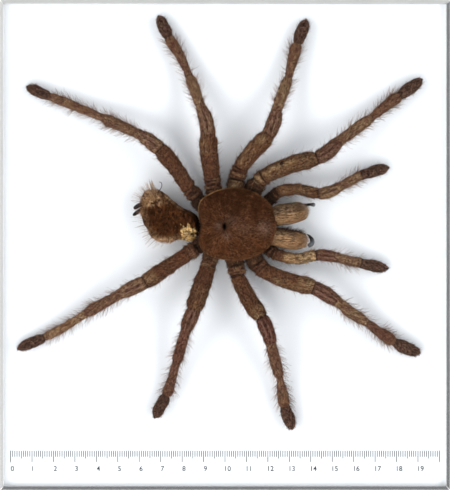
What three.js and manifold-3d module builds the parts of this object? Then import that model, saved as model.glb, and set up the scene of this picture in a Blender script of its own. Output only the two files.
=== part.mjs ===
// A dried tarantula on a white board, in a low frame of four mitred metal rails.
// Millimetres. The piece lies on its back: +Z leaves the picture face, +Y is the top edge of
// the frame and +X is the way the head points. The origin is the middle of the underside.
import * as THREE from 'three';
import { mergeVertices } from 'three/addons/utils/BufferGeometryUtils.js';
import Module from 'manifold-3d';

const wasm = await Module();
wasm.setup();

// ---- Frame and board ----
const FRAME_WIDTH = 209.7;
const FRAME_HEIGHT = 228.4;
const RAIL_DEPTH = 12;
const LIP_WIDTH = 1.9; // the sloping lip, seen from the front
const LIP_DROP = 1.5; // how far the lip falls towards the outside
const FLANGE_REACH = 8; // ledge behind the board, from the rail's outside face
const FLANGE_THICK = 1.5;
const BOARD_THICK = 8;
const GAP = 0.3; // clearance between pieces that touch
const MITRE_SETBACK = GAP / Math.SQRT2;
const BOARD_FACE = FLANGE_THICK + GAP + BOARD_THICK;

// ---- Cephalothorax: heights above the board, plan measured from the central pit ----
const PIT = [-0.2, 8.6];
const CARAPACE_REACH = [ // pit to margin every 22.5 degrees, from the front anticlockwise
  24.0, 23.7, 21.3, 19.1, 17.5, 16.6, 16.1, 13.0,
  11.3, 13.1, 14.9, 15.0, 15.4, 16.9, 19.7, 22.8,
];
const CARAPACE_SIDES = 48;
const MARGIN_UNDERSIDE = 10.2;
const MARGIN_TOP = 11.2;
const DOME_RISE = 6.6;
const PIT_DEPTH = 2.6;
const PIT_RADIUS = 1.7;
const GROOVE_BEARINGS = [35, 75, 115, 150]; // each side of the midline, in degrees
const GROOVE_DEPTH = 0.6;
const GROOVE_SPREAD = 7; // degrees
const EYE_MOUND = { ahead: 19.2, height: 1.2, radius: 2.2 };
const STERNUM = { centre: [5.4, 9.5], half: [12.5, 9.2], bottom: 0.5 };

// ---- Abdomen, shrunken in drying ----
const ABDOMEN_CENTRE = [-25.2, 13.5];
const ABDOMEN_REACH = [ // centre to outline every 22.5 degrees, from the front anticlockwise
  11.9, 7.8, 6.2, 6.4, 7.9, 12.4, 16.0, 15.2,
  13.5, 12.6, 12.9, 13.0, 12.1, 11.9, 15.6, 14.7,
];
const ABDOMEN_SIDES = 32;
const ABDOMEN_PROFILE = [ // share of the reach, height
  [0, 0.5], [0.62, 0.5], [0.9, 2.0], [1, 4.8], [0.96, 7.4],
  [0.84, 9.5], [0.62, 11.0], [0.34, 11.4], [0, 10.8],
];
const FOLD_DEPTH = 0.7; // lengthwise creases of the dried skin
const FOLD_PITCH = 5.5;

// ---- Limbs: widths are near end, middle and far end of each segment ----
const LIMB_SIDES = 10;
const LIMB_FLATNESS = 0.88; // height of a limb's section over its width
const JOINT_PINCH = 0.84; // width at a joint over the segments' ends
const TIP_SHARE = 0.5;
const FRONT_LEG = {
  widths: [
    [5.6, 7.6, 7.6], [7.6, 7.6, 7.4], [7.1, 7.8, 8.2], [6.6, 6.8, 6.3],
    [4.8, 5.2, 5.0], [3.6, 4.9, 5.6], [4.8, 5.7, 4.3],
  ],
  heights: [6.2, 6.4, 6.9, 10.5, 9.0, 5.2, 3.3, 2.6],
};
const THIRD_LEG = {
  widths: [
    [5.4, 7.0, 7.2], [7.2, 7.4, 7.3], [7.5, 8.3, 8.5], [6.8, 6.8, 6.2],
    [4.6, 4.9, 5.4], [3.6, 4.4, 5.2], [4.7, 5.4, 4.0],
  ],
  heights: [6.2, 6.4, 6.9, 10.5, 9.0, 5.2, 3.2, 2.6],
};
const FOURTH_LEG = {
  widths: [
    [5.4, 6.8, 6.9], [6.9, 7.1, 6.9], [6.7, 7.2, 7.8], [6.6, 6.6, 6.0],
    [4.4, 4.9, 5.6], [3.6, 4.0, 4.5], [4.2, 5.0, 3.8],
  ],
  heights: [6.2, 6.4, 6.9, 10.5, 9.0, 5.2, 3.0, 2.5],
};
const PALP = {
  widths: [
    [4.6, 5.2, 5.2], [5.3, 5.4, 5.4], [5.3, 5.1, 5.5], [5.3, 5.5, 5.0],
    [4.3, 4.7, 4.3], [4.2, 5.3, 3.8],
  ],
  heights: [5.6, 5.8, 6.6, 8.0, 7.0, 4.2, 2.6],
};

// Each limb starts under the carapace. A segment is [bearing in degrees, length, bow to the left].
const LIMBS = {
  pedipalp_left: {
    build: PALP,
    start: [17.7, 19.1],
    segments: [[35, 4.1], [43, 4.5], [-2, 18.6, 1.6], [16, 10.2, -0.8], [28.5, 11.9], [16.5, 13.9]],
  },
  leg_1_left: {
    build: FRONT_LEG,
    start: [10.3, 20.0],
    segments: [
      [63, 9.4], [43, 4.8], [19.5, 25.7, 1.1], [36, 12.9, -0.8], [36.5, 19.1], [38, 16.6, 0.3],
      [36.5, 13.4],
    ],
  },
  leg_2_left: {
    build: FRONT_LEG,
    start: [3.7, 20.5],
    segments: [
      [80, 9.7], [74, 5.8], [49.5, 20.0, 0.5], [70.5, 11.9, -0.5], [71, 16.7, 0.2],
      [75, 16.5, 0.2], [69.5, 12.2],
    ],
  },
  leg_3_left: {
    build: THIRD_LEG,
    start: [-3.7, 19.6],
    segments: [
      [105, 6.3], [97, 5.6], [95.5, 19.7, 0.3], [103, 12.0, -0.7], [110.5, 16.9],
      [118, 20.6, -0.7], [115.5, 11.4],
    ],
  },
  leg_4_left: {
    build: FOURTH_LEG,
    start: [-8.4, 15.8],
    segments: [
      [130, 7.3], [125.5, 6.0], [127, 22.5, -0.5], [144, 11.0, -0.3], [155, 20.0, -0.1],
      [158, 26.7, -0.3], [156.5, 11.7],
    ],
  },
  pedipalp_right: {
    build: PALP,
    start: [17.7, 0],
    segments: [[-39, 3.3], [-33, 3.9], [-1.5, 18.6, -2], [-7, 9.8, 0.4], [-13, 11.4], [-11, 13.5]],
  },
  leg_1_right: {
    build: FRONT_LEG,
    start: [10.3, -1.4],
    segments: [
      [-58, 8.8], [-43, 4.8], [-18.5, 23.7, -0.8], [-30.5, 12.4, 0.3], [-35.5, 17.3, -0.5],
      [-34.5, 16.2, -0.3], [-23.5, 13.1, -0.5],
    ],
  },
  leg_2_right: {
    build: FRONT_LEG,
    start: [3.7, -1.9],
    segments: [
      [-81, 7.5], [-77.5, 5.5], [-60.5, 21.6, -0.9], [-69, 12.5, 0.5], [-75.5, 16.8, -0.2],
      [-80, 14.0], [-71.5, 11.4],
    ],
  },
  leg_3_right: {
    build: THIRD_LEG,
    start: [-3.7, -0.5],
    segments: [
      [-122, 6.1], [-103, 5.0], [-108.5, 20.3], [-110.5, 10.5], [-106.5, 15.8],
      [-107, 16.0, 0.3], [-118.5, 12.1],
    ],
  },
  leg_4_right: {
    build: FOURTH_LEG,
    start: [-8.4, 2.8],
    segments: [
      [-140, 5.8], [-145, 5.7], [-146.5, 23.3], [-154, 12.9], [-150.5, 18.4], [-150, 22.4, 0.4],
      [-157, 14.1],
    ],
  },
};

// ---- Jaws and spinnerets: path points [x, y, height] with the width at each ----
const JAW_SIDES = 16;
const SMALL_SIDES = 8;
const JAW_TALLNESS = 1.05;
const CHELICERAE = {
  chelicera_left: [
    [[20.6, 13.2, 7.4], 7.8], [[24, 13.7, 7.6], 9.1], [[30.2, 14.6, 7.4], 9.8],
    [[35.0, 15.6, 6.8], 8.3], [[38.4, 17.0, 6.2], 3.8],
  ],
  chelicera_right: [
    [[20.6, 4.1, 7.4], 7.4], [[24, 3.6, 7.6], 8.1], [[30.2, 2.5, 7.4], 8.6],
    [[35.0, 2.1, 6.8], 7.4], [[38.2, 1.8, 6.2], 4.4],
  ],
};
const FANGS = {
  fang_left: [[[37.0, 18.3, 6.0], 1.6], [[39.4, 18.8, 5.6], 1.6], [[42.0, 18.6, 5.2], 2.0]],
  fang_right: [
    [[38.6, -0.6, 6.0], 2.0], [[40.3, 0.7, 5.6], 2.1], [[40.5, 2.1, 5.0], 2.0],
    [[39.5, 3.8, 4.4], 1.3], [[38.1, 5.2, 3.8], 0.4],
  ],
};
const SPINNERETS = {
  spinneret_upper: [[[-37.5, 18.9, 6.0], 2.2], [[-40.0, 18.3, 5.6], 2.2], [[-42.4, 16.8, 5.0], 1.8]],
  spinneret_lower: [[[-38.0, 16.9, 5.0], 1.9], [[-40.4, 15.5, 4.6], 1.9], [[-42.8, 13.7, 4.2], 1.5]],
};

// ---- Colours, roughness and metalness ----
const FINISHES = {
  rail: [0xa6a6a8, 0.38, 0.85],
  board: [0xffffff, 0.9, 0],
  carapace: [0x4a3020, 0.75, 0],
  abdomen: [0x4a3022, 0.9, 0],
  jaw: [0x7e6549, 0.6, 0],
  leg: [0x5e4435, 0.8, 0],
  fang: [0x17120f, 0.2, 0],
  spinneret: [0x231a16, 0.7, 0],
};

function finish(name) {
  const [color, roughness, metalness] = FINISHES[name];
  return new THREE.MeshStandardMaterial({ color, roughness, metalness });
}

function named(name, geometry, finishName) {
  const mesh = new THREE.Mesh(geometry, finish(finishName));
  mesh.name = name;
  return mesh;
}

// ---- Helpers for closed bodies ----

// One shared vertex per place, no empty triangles, and faces that point out.
function weld(geometry) {
  geometry.deleteAttribute('normal');
  geometry.deleteAttribute('uv');
  const welded = mergeVertices(geometry, 1e-4);
  const place = welded.attributes.position;
  const corners = [];
  let volume = 0;
  for (let i = 0; i < welded.index.count; i += 3) {
    const triangle = [0, 1, 2].map((k) => welded.index.getX(i + k));
    if (new Set(triangle).size < 3) continue;
    corners.push(...triangle);
    const [a, b, c] = triangle.map((v) => new THREE.Vector3().fromBufferAttribute(place, v));
    volume += a.dot(b.cross(c));
  }
  welded.setIndex(volume < 0 ? corners.reverse() : corners);
  return welded;
}

function solidOf(geometry) {
  const vertProperties = new Float32Array(geometry.attributes.position.array);
  const triVerts = new Uint32Array(geometry.index.array);
  return new wasm.Manifold(new wasm.Mesh({ numProp: 3, vertProperties, triVerts }));
}

function geometryOf(solid) {
  const { vertProperties, triVerts } = solid.getMesh();
  const geometry = new THREE.BufferGeometry();
  geometry.setAttribute('position', new THREE.BufferAttribute(vertProperties, 3));
  geometry.setIndex(new THREE.BufferAttribute(triVerts, 1));
  return geometry;
}

// Cuts a body back where it would meet its neighbours, which are given grown by the gap.
function trimmed(geometry, grownNeighbours) {
  let solid = solidOf(geometry);
  for (const neighbour of grownNeighbours) solid = solid.subtract(neighbour);
  return geometryOf(solid);
}

// Lathed body whose axis is bent along a path; stations are [share of the path, width].
function bentLathe(path, stations, sides, tallness) {
  const profile = stations.map(([share, width]) => new THREE.Vector2(width / 2, share));
  profile.unshift(new THREE.Vector2(0, stations[0][0]));
  profile.push(new THREE.Vector2(0, stations.at(-1)[0]));
  const geometry = new THREE.LatheGeometry(profile, sides);
  const place = geometry.attributes.position;
  for (let i = 0; i < place.count; i += 1) {
    const share = place.getY(i);
    const along = path.getTangent(share);
    const left = new THREE.Vector3(-along.y, along.x, 0).normalize();
    const above = along.clone().cross(left);
    const point = path.getPoint(share);
    point.addScaledVector(left, place.getX(i));
    point.addScaledVector(above, place.getZ(i) * tallness);
    place.setXYZ(i, point.x, point.y, point.z);
  }
  return weld(geometry);
}

// A smooth closed outline through evenly spaced reaches; turn runs from 0 to 1.
function reachAt(reaches, turn) {
  const count = reaches.length;
  const spot = turn * count;
  const first = Math.floor(spot);
  const [a, b, c, d] = [-1, 0, 1, 2].map((k) => reaches[(first + k + count) % count]);
  const t = spot - first;
  const curve = 2 * a - 5 * b + 4 * c - d + t * (3 * b - a - 3 * c + d);
  return b + (t / 2) * (c - a + t * curve);
}

// ---- Frame ----

function railGeometry(length) {
  const section = new THREE.Shape([
    new THREE.Vector2(0, 0),
    new THREE.Vector2(FLANGE_REACH, 0),
    new THREE.Vector2(FLANGE_REACH, FLANGE_THICK),
    new THREE.Vector2(LIP_WIDTH, FLANGE_THICK),
    new THREE.Vector2(LIP_WIDTH, RAIL_DEPTH),
    new THREE.Vector2(0, RAIL_DEPTH - LIP_DROP),
  ]);
  const geometry = new THREE.ExtrudeGeometry(section, { depth: 1, bevelEnabled: false });
  const place = geometry.attributes.position;
  for (let i = 0; i < place.count; i += 1) {
    const inset = place.getX(i);
    const end = place.getZ(i) < 0.5 ? -1 : 1;
    const along = end * (length / 2 - inset - MITRE_SETBACK);
    place.setXYZ(i, along, inset, place.getY(i));
  }
  return weld(geometry);
}

function rail(name, length, distance, quarterTurns) {
  const mesh = named(name, railGeometry(length), 'rail');
  mesh.position.y = -distance;
  const turned = new THREE.Group();
  turned.rotation.z = (quarterTurns * Math.PI) / 2;
  turned.add(mesh);
  return turned;
}

function frameRails() {
  const group = new THREE.Group();
  group.add(rail('frame_rail_bottom', FRAME_WIDTH, FRAME_HEIGHT / 2, 0));
  group.add(rail('frame_rail_right', FRAME_HEIGHT, FRAME_WIDTH / 2, 1));
  group.add(rail('frame_rail_top', FRAME_WIDTH, FRAME_HEIGHT / 2, 2));
  group.add(rail('frame_rail_left', FRAME_HEIGHT, FRAME_WIDTH / 2, 3));
  return group;
}

function backingBoard() {
  const inset = 2 * (LIP_WIDTH + GAP);
  const box = new THREE.BoxGeometry(FRAME_WIDTH - inset, FRAME_HEIGHT - inset, BOARD_THICK);
  const mesh = named('backing_board', weld(box), 'board');
  mesh.position.z = BOARD_FACE - BOARD_THICK / 2;
  return mesh;
}

// ---- Specimen, with heights measured from the board's face ----

function grooveAt(turn) {
  const bearing = turn < 0.5 ? turn * 360 : (1 - turn) * 360;
  const depths = GROOVE_BEARINGS.map((groove) => {
    const away = (bearing - groove) / GROOVE_SPREAD;
    return Math.exp(-away * away);
  });
  return Math.max(...depths);
}

function carapaceHeight(share, turn, x, y) {
  const dome = DOME_RISE * (1 - share ** 2.4) ** 0.7;
  const reach = Math.hypot(x - PIT[0], y - PIT[1]);
  const pit = PIT_DEPTH * Math.exp(-((reach / PIT_RADIUS) ** 2));
  const groove = GROOVE_DEPTH * grooveAt(turn) * Math.sin(Math.PI * share);
  const eyes = Math.hypot(x - PIT[0] - EYE_MOUND.ahead, y - PIT[1]) / EYE_MOUND.radius;
  const mound = EYE_MOUND.height * Math.exp(-(eyes ** 2));
  return MARGIN_TOP + dome - pit - groove + mound;
}

// The lathe's rings run from the sternum up to the margin, then over the dome to the pit.
const CARAPACE_RINGS = [
  { part: 'sternum', share: 0, height: STERNUM.bottom },
  { part: 'sternum', share: 0.8, height: STERNUM.bottom },
  { part: 'sternum', share: 1, height: STERNUM.bottom + 2 },
  { part: 'sternum', share: 1, height: MARGIN_UNDERSIDE },
  { part: 'margin', share: 0.97, height: MARGIN_UNDERSIDE },
  { part: 'margin', share: 1, height: (MARGIN_UNDERSIDE + MARGIN_TOP) / 2 },
  ...[0.98, 0.93, 0.83, 0.7, 0.56, 0.42, 0.29, 0.17, 0.08, 0].map((share) => ({ part: 'dome', share })),
];

function ringPlace(ring, angle, grow) {
  const turn = (angle / (2 * Math.PI) + 1) % 1;
  const [cos, sin] = [Math.cos(angle), Math.sin(angle)];
  if (ring.part === 'sternum') {
    const [halfLength, halfWidth] = STERNUM.half.map((half) => half + grow);
    const x = STERNUM.centre[0] + ring.share * halfLength * cos;
    const y = STERNUM.centre[1] + ring.share * halfWidth * sin;
    return [x, y, ring.height - grow];
  }
  const reach = ring.share * (reachAt(CARAPACE_REACH, turn) + grow);
  const x = PIT[0] + reach * cos;
  const y = PIT[1] + reach * sin;
  if (ring.part === 'margin') return [x, y, ring.height - grow];
  return [x, y, carapaceHeight(ring.share, turn, x, y) + grow];
}

function cephalothoraxGeometry(grow) {
  const profile = CARAPACE_RINGS.map(({ share }, index) => new THREE.Vector2(share, index));
  const geometry = new THREE.LatheGeometry(profile, CARAPACE_SIDES);
  const place = geometry.attributes.position;
  for (let i = 0; i < place.count; i += 1) {
    const ring = CARAPACE_RINGS[Math.round(place.getY(i))];
    const angle = Math.atan2(place.getX(i), place.getZ(i));
    place.setXYZ(i, ...ringPlace(ring, angle, grow));
  }
  return weld(geometry);
}

function abdomenGeometry(grow) {
  const middle = ABDOMEN_PROFILE.findIndex(([share]) => share === 1);
  const profile = ABDOMEN_PROFILE.map(([share], index) => new THREE.Vector2(share, index));
  const geometry = new THREE.LatheGeometry(profile, ABDOMEN_SIDES);
  const place = geometry.attributes.position;
  for (let i = 0; i < place.count; i += 1) {
    const index = Math.round(place.getY(i));
    const [share, height] = ABDOMEN_PROFILE[index];
    const angle = Math.atan2(place.getX(i), place.getZ(i));
    const turn = (angle / (2 * Math.PI) + 1) % 1;
    const reach = share * (reachAt(ABDOMEN_REACH, turn) + grow);
    const across = reach * Math.sin(angle);
    const above = index > middle;
    const fold = above ? FOLD_DEPTH * share * Math.sin((2 * Math.PI * across) / FOLD_PITCH) : 0;
    place.setXYZ(
      i,
      ABDOMEN_CENTRE[0] + reach * Math.cos(angle),
      ABDOMEN_CENTRE[1] + across,
      height + fold + (above ? grow : -grow),
    );
  }
  return weld(geometry);
}

function limbPath(start, segments, heights) {
  const points = [new THREE.Vector3(start[0], start[1], heights[0])];
  segments.forEach(([bearing, length, bow = 0], index) => {
    const angle = THREE.MathUtils.degToRad(bearing);
    const along = new THREE.Vector3(Math.cos(angle), Math.sin(angle), 0);
    const left = new THREE.Vector3(-along.y, along.x, 0);
    const from = points.at(-1);
    const to = from.clone().addScaledVector(along, length).setZ(heights[index + 1]);
    const middle = from.clone().lerp(to, 0.5).addScaledVector(left, bow);
    points.push(middle, to);
  });
  return new THREE.CatmullRomCurve3(points);
}

function limbStations(widths) {
  const stations = [];
  widths.forEach(([near, middle, far], index) => {
    const before = index ? widths[index - 1][2] : near;
    stations.push([index, JOINT_PINCH * Math.min(before, near)]);
    stations.push([index + 0.12, near], [index + 0.5, middle], [index + 0.88, far]);
  });
  stations.push([widths.length, TIP_SHARE * widths.at(-1)[2]]);
  return stations.map(([spot, width]) => [spot / widths.length, width]);
}

function limbGeometry({ build, start, segments }) {
  const path = limbPath(start, segments, build.heights);
  return bentLathe(path, limbStations(build.widths), LIMB_SIDES, LIMB_FLATNESS);
}

// A short body along a few points, with its width at each.
function rodGeometry(rows, sides, tallness, grow = 0) {
  const path = new THREE.CatmullRomCurve3(rows.map(([point]) => new THREE.Vector3(...point)));
  const last = rows.length - 1;
  const stations = rows.map(([, width], index) => [index / last, width + 2 * grow]);
  return bentLathe(path, stations, sides, tallness);
}

function specimen() {
  const group = new THREE.Group();
  group.position.z = BOARD_FACE;
  const bodyRoom = solidOf(cephalothoraxGeometry(GAP));
  const abdomenRoom = solidOf(abdomenGeometry(GAP));
  group.add(named('cephalothorax', cephalothoraxGeometry(0), 'carapace'));
  group.add(named('abdomen', trimmed(abdomenGeometry(0), [bodyRoom]), 'abdomen'));
  for (const [name, rows] of Object.entries(SPINNERETS)) {
    const rod = rodGeometry(rows, SMALL_SIDES, 1);
    group.add(named(name, trimmed(rod, [abdomenRoom]), 'spinneret'));
  }
  for (const [name, rows] of Object.entries(CHELICERAE)) {
    const jaw = rodGeometry(rows, JAW_SIDES, JAW_TALLNESS);
    group.add(named(name, trimmed(jaw, [bodyRoom]), 'jaw'));
  }
  const jawRooms = Object.values(CHELICERAE).map((rows) => (
    solidOf(rodGeometry(rows, JAW_SIDES, JAW_TALLNESS, GAP))
  ));
  for (const [name, rows] of Object.entries(FANGS)) {
    const fang = rodGeometry(rows, SMALL_SIDES, 1);
    group.add(named(name, trimmed(fang, jawRooms), 'fang'));
  }
  for (const [name, limb] of Object.entries(LIMBS)) {
    const leg = trimmed(limbGeometry(limb), [bodyRoom, abdomenRoom, ...jawRooms]);
    group.add(named(name, leg, 'leg'));
  }
  return group;
}

const framedSpecimen = new THREE.Group();
framedSpecimen.add(frameRails(), backingBoard(), specimen());

export default framedSpecimen;
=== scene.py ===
# %% [markdown]
# # A dried tarantula in a low metal frame
# The real thing is a spread spider on a white card with a printed centimetre scale, held by four
# mitred metal rails. The CAD model gives every piece its size and its place. This lesson keeps
# those and gives each piece the surface it has in the hand: velvet, bristles, horn, card, metal.

# %% Load the model as a fixed frame
import math

import bmesh
import bpy
import numpy as np
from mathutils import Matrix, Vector, noise


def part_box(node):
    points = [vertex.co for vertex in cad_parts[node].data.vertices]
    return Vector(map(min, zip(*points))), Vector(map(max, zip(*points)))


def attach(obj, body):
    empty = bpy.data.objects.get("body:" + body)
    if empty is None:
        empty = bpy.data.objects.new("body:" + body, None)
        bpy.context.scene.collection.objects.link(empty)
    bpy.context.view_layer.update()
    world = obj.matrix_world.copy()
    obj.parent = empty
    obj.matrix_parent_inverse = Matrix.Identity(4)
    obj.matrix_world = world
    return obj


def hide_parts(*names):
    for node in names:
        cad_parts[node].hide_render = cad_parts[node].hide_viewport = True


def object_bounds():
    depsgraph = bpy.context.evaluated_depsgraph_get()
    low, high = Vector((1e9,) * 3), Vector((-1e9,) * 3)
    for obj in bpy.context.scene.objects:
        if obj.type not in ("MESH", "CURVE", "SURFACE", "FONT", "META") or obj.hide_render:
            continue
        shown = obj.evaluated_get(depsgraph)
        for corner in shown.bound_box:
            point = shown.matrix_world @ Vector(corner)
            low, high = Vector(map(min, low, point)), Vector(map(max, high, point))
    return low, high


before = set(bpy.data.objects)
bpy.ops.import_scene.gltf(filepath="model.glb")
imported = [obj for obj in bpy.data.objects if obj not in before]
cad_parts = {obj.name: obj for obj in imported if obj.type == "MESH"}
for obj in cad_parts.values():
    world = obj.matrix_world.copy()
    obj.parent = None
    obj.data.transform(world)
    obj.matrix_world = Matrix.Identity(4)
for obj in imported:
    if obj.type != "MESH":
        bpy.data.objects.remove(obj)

CAD_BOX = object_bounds()
MM = 0.001
BOARD_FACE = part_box("backing_board")[1][2] / MM
print(f"{len(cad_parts)} pieces; the board's face is {BOARD_FACE:.1f} mm up")

# %% [markdown]
# ## Camera
# Such a specimen is recorded straight from above, so that the scale reads true all over. A long
# lens keeps the perspective small. The distance follows from the lens: at the height of the rim's
# outer edge the frame has to fill the picture's long side exactly.

# %% Camera straight above the frame
LENS_MM, SENSOR_MM = 200.0, 36.0
LIP_DROP = 1.5 * MM  # the rim's outer edge lies this far below its inner edge


def placed(name, data):
    """Puts data into the scene as an object."""
    thing = bpy.data.objects.new(name, data)
    bpy.context.scene.collection.objects.link(thing)
    return thing


camera_data = bpy.data.cameras.new("camera_above")
camera_data.lens, camera_data.sensor_width = LENS_MM, SENSOR_MM
camera = placed("camera_above", camera_data)
rim_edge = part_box("frame_rail_top")[1][2] - LIP_DROP
frame_height = CAD_BOX[1][1] - CAD_BOX[0][1]
camera.location = (0, 0, rim_edge + frame_height * LENS_MM / SENSOR_MM)
bpy.context.scene.camera = camera
print(f"camera {camera.location.z:.3f} m up")

# %% [markdown]
# ## Light
# A copying stand has one lamp box on the left and one on the right, low over the board. They light
# the board from along its width, so the narrow places between the legs that point up or down stay
# dark. Here the sky does this: a ring at a low angle, bright to the left and right, weaker at the
# near side and dim at the far side, with a dim cap above it. One weak soft lamp at the near side
# adds some direction. Below the ring a band is light towards the upper left and dark towards the
# lower right, because the sloping lips of the rails mirror just that band.

# %% Lamp
LAMP_PLACE, LAMP_SIZE, LAMP_POWER, LAMP_COLOUR = (-0.3, -0.75, 0.9), 0.6, 4.0, (1.0, 0.99, 0.97)
lamp_data = bpy.data.lights.new("key_light", "AREA")
lamp_data.size, lamp_data.energy, lamp_data.color = LAMP_SIZE, LAMP_POWER, LAMP_COLOUR
lamp = placed("key_light", lamp_data)
lamp.location = LAMP_PLACE
lamp.rotation_euler = (-Vector(LAMP_PLACE)).to_track_quat("-Z", "Y").to_euler()
lamp.visible_camera = False
print("one soft lamp")


# %% A helper that builds node trees
class Nodes:
    """Adds nodes to one tree. An input is a value, or a socket to link from."""

    def __init__(self, tree):
        self.tree = tree

    def feed(self, socket, value):
        if isinstance(value, bpy.types.NodeSocket):
            self.tree.links.new(value, socket)
        else:
            socket.default_value = value

    def add(self, kind, inputs=None, **settings):
        made = self.tree.nodes.new(kind)
        for key, value in settings.items():
            setattr(made, key, value)
        for key, value in (inputs or {}).items():
            self.feed(made.inputs[key], value)
        return made

    def out(self, kind, inputs=None, output=0, **settings):
        return self.add(kind, inputs, **settings).outputs[output]

    def calc(self, operation, *values):
        return self.out("ShaderNodeMath", dict(enumerate(values)), operation=operation)

    def eased(self, value, low, high, to_low=0.0, to_high=1.0):
        inputs = {"Value": value, "From Min": low, "From Max": high, "To Min": to_low, "To Max": to_high}
        return self.out("ShaderNodeMapRange", inputs, interpolation_type="SMOOTHSTEP")

    def mix(self, factor, first, second, blend="MIX"):
        inputs = {0: factor, 6: first, 7: second}
        return self.out("ShaderNodeMix", inputs, 2, data_type="RGBA", blend_type=blend)

    def over(self, mask, much, under, above):
        """One colour over another where the mask is, at most so much."""
        return self.mix(self.calc("MULTIPLY", mask, much), under, above)

    def cloud(self, place, scale, detail=2.0, roughness=0.5):
        inputs = {"Vector": place, "Scale": scale, "Detail": detail, "Roughness": roughness}
        return self.out("ShaderNodeTexNoise", inputs, "Fac")

    def place(self):
        return self.out("ShaderNodeTexCoord", None, "Object")

    def split(self, vector):
        return self.add("ShaderNodeSeparateXYZ", {0: vector}).outputs

    def stored(self, name, output="Fac"):
        return self.out("ShaderNodeAttribute", None, output, attribute_name=name)

    def zones(self):
        return self.split(self.stored("zones", "Vector"))

    def bump(self, shader, height, depth_mm, strength):
        inputs = {"Height": height, "Distance": depth_mm * MM, "Strength": strength}
        self.feed(shader["Normal"], self.out("ShaderNodeBump", inputs))

    def end(self, instances, material):
        """Makes instances real, gives them their material and ends the tree."""
        real = self.out("GeometryNodeRealizeInstances", {"Geometry": instances})
        done = self.out("GeometryNodeSetMaterial", {"Geometry": real, "Material": material})
        self.add("NodeGroupOutput", {"Geometry": done})
        return self.tree


def new_group(name, kind, inputs, outputs):
    """A node group whose sockets are listed by kind, and what it is given."""
    tree = bpy.data.node_groups.new(name, kind)
    for side, sockets in (("INPUT", inputs), ("OUTPUT", outputs)):
        for sort, labels in sockets.items():
            for label in labels:
                tree.interface.new_socket(label, in_out=side, socket_type=f"NodeSocket{sort}")
    nodes = Nodes(tree)
    return nodes, nodes.add("NodeGroupInput").outputs


# %% A sky with a bright ring, heights given as those of a unit direction
SKY_ABOVE = (0.32, 0.34, 0.37, 1)
SKY_RING_SIDES = (5.0, 5.2, 5.35, 1)
SKY_RING_NEAR = (2.0, 2.1, 2.2, 1)
SKY_RING_FAR = (0.6, 0.66, 0.72, 1)
SKY_LIGHT_SIDE = (0.93, 0.93, 0.93, 1)
SKY_DARK_SIDE = (0.24, 0.24, 0.24, 1)
RING_BOTTOM, RING_TOP = (0.36, 0.46), (0.58, 0.78)

world = bpy.data.worlds.new("studio_sky")
world.use_nodes = True
world.node_tree.nodes.clear()
sky = Nodes(world.node_tree)
east, north, up = sky.split(sky.out("ShaderNodeTexCoord", None, "Generated"))
low_band = sky.mix(sky.eased(sky.calc("SUBTRACT", north, east), -0.6, 0.6), SKY_DARK_SIDE, SKY_LIGHT_SIDE)
sideways = sky.calc("SUBTRACT", sky.calc("ABSOLUTE", east), sky.calc("ABSOLUTE", north))
ring_ends = sky.mix(sky.eased(north, -0.3, 0.3), SKY_RING_NEAR, SKY_RING_FAR)
ring = sky.mix(sky.eased(sideways, -0.3, 0.5), ring_ends, SKY_RING_SIDES)
ringed = sky.mix(sky.eased(up, *RING_BOTTOM), low_band, ring)
whole = sky.mix(sky.eased(up, *RING_TOP), ringed, SKY_ABOVE)
sky.add("ShaderNodeOutputWorld", {"Surface": sky.out("ShaderNodeBackground", {"Color": whole})})
bpy.context.scene.world = world
bpy.context.scene.view_settings.view_transform = "Standard"
print("sky made")

# %% [markdown]
# ## Meshes from rings
# Most pieces of a spider are closed bodies round an axis, so nearly all of them can be made from
# rings of points joined by quads and closed with a fan at both ends. Numbers that the finishes
# and the hairs need later, such as how far along a leg a point is, are stored on the points.


# %% Helpers for shapes, in millimetres
def ease(low, high, x):
    """Rises smoothly from 0 at low to 1 at high."""
    t = np.clip((x - low) / (high - low), 0, 1)
    return t * t * (3 - 2 * t)


def hump(x, centre, width):
    return np.exp(-(((x - centre) / width) ** 2))


def ripple(points, scale, offset=0.0):
    """Smooth noise from about -0.5 to 0.5 at each point; scale is in features per unit."""
    flat = np.asarray(points, float).reshape(-1, 3) * scale + offset
    values = [noise.noise(Vector(point)) for point in flat]
    return np.array(values).reshape(np.shape(points)[:-1])


def vectors(x, y, z):
    """Vectors from three parts that may be numbers, rows or columns."""
    return np.stack(np.broadcast_arrays(x, y, z), -1)


def around(sides):
    """Evenly spaced angles round an axis, and their sines and cosines."""
    angle = np.linspace(0, 2 * np.pi, sides, endpoint=False)
    return angle, np.sin(angle), np.cos(angle)


def off_top(angle):
    """Degrees from the top of a body, from -180 to 180."""
    return (np.degrees(angle) + 180) % 360 - 180


def finish_piece(name, mesh, materials, replaced=()):
    """Links the mesh as a piece that rides on the model's one body."""
    piece = placed(name, mesh)
    for material in materials:
        if material.name not in mesh.materials:
            mesh.materials.append(material)
    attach(piece, "root")
    if replaced:
        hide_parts(*replaced)
    return piece


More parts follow.
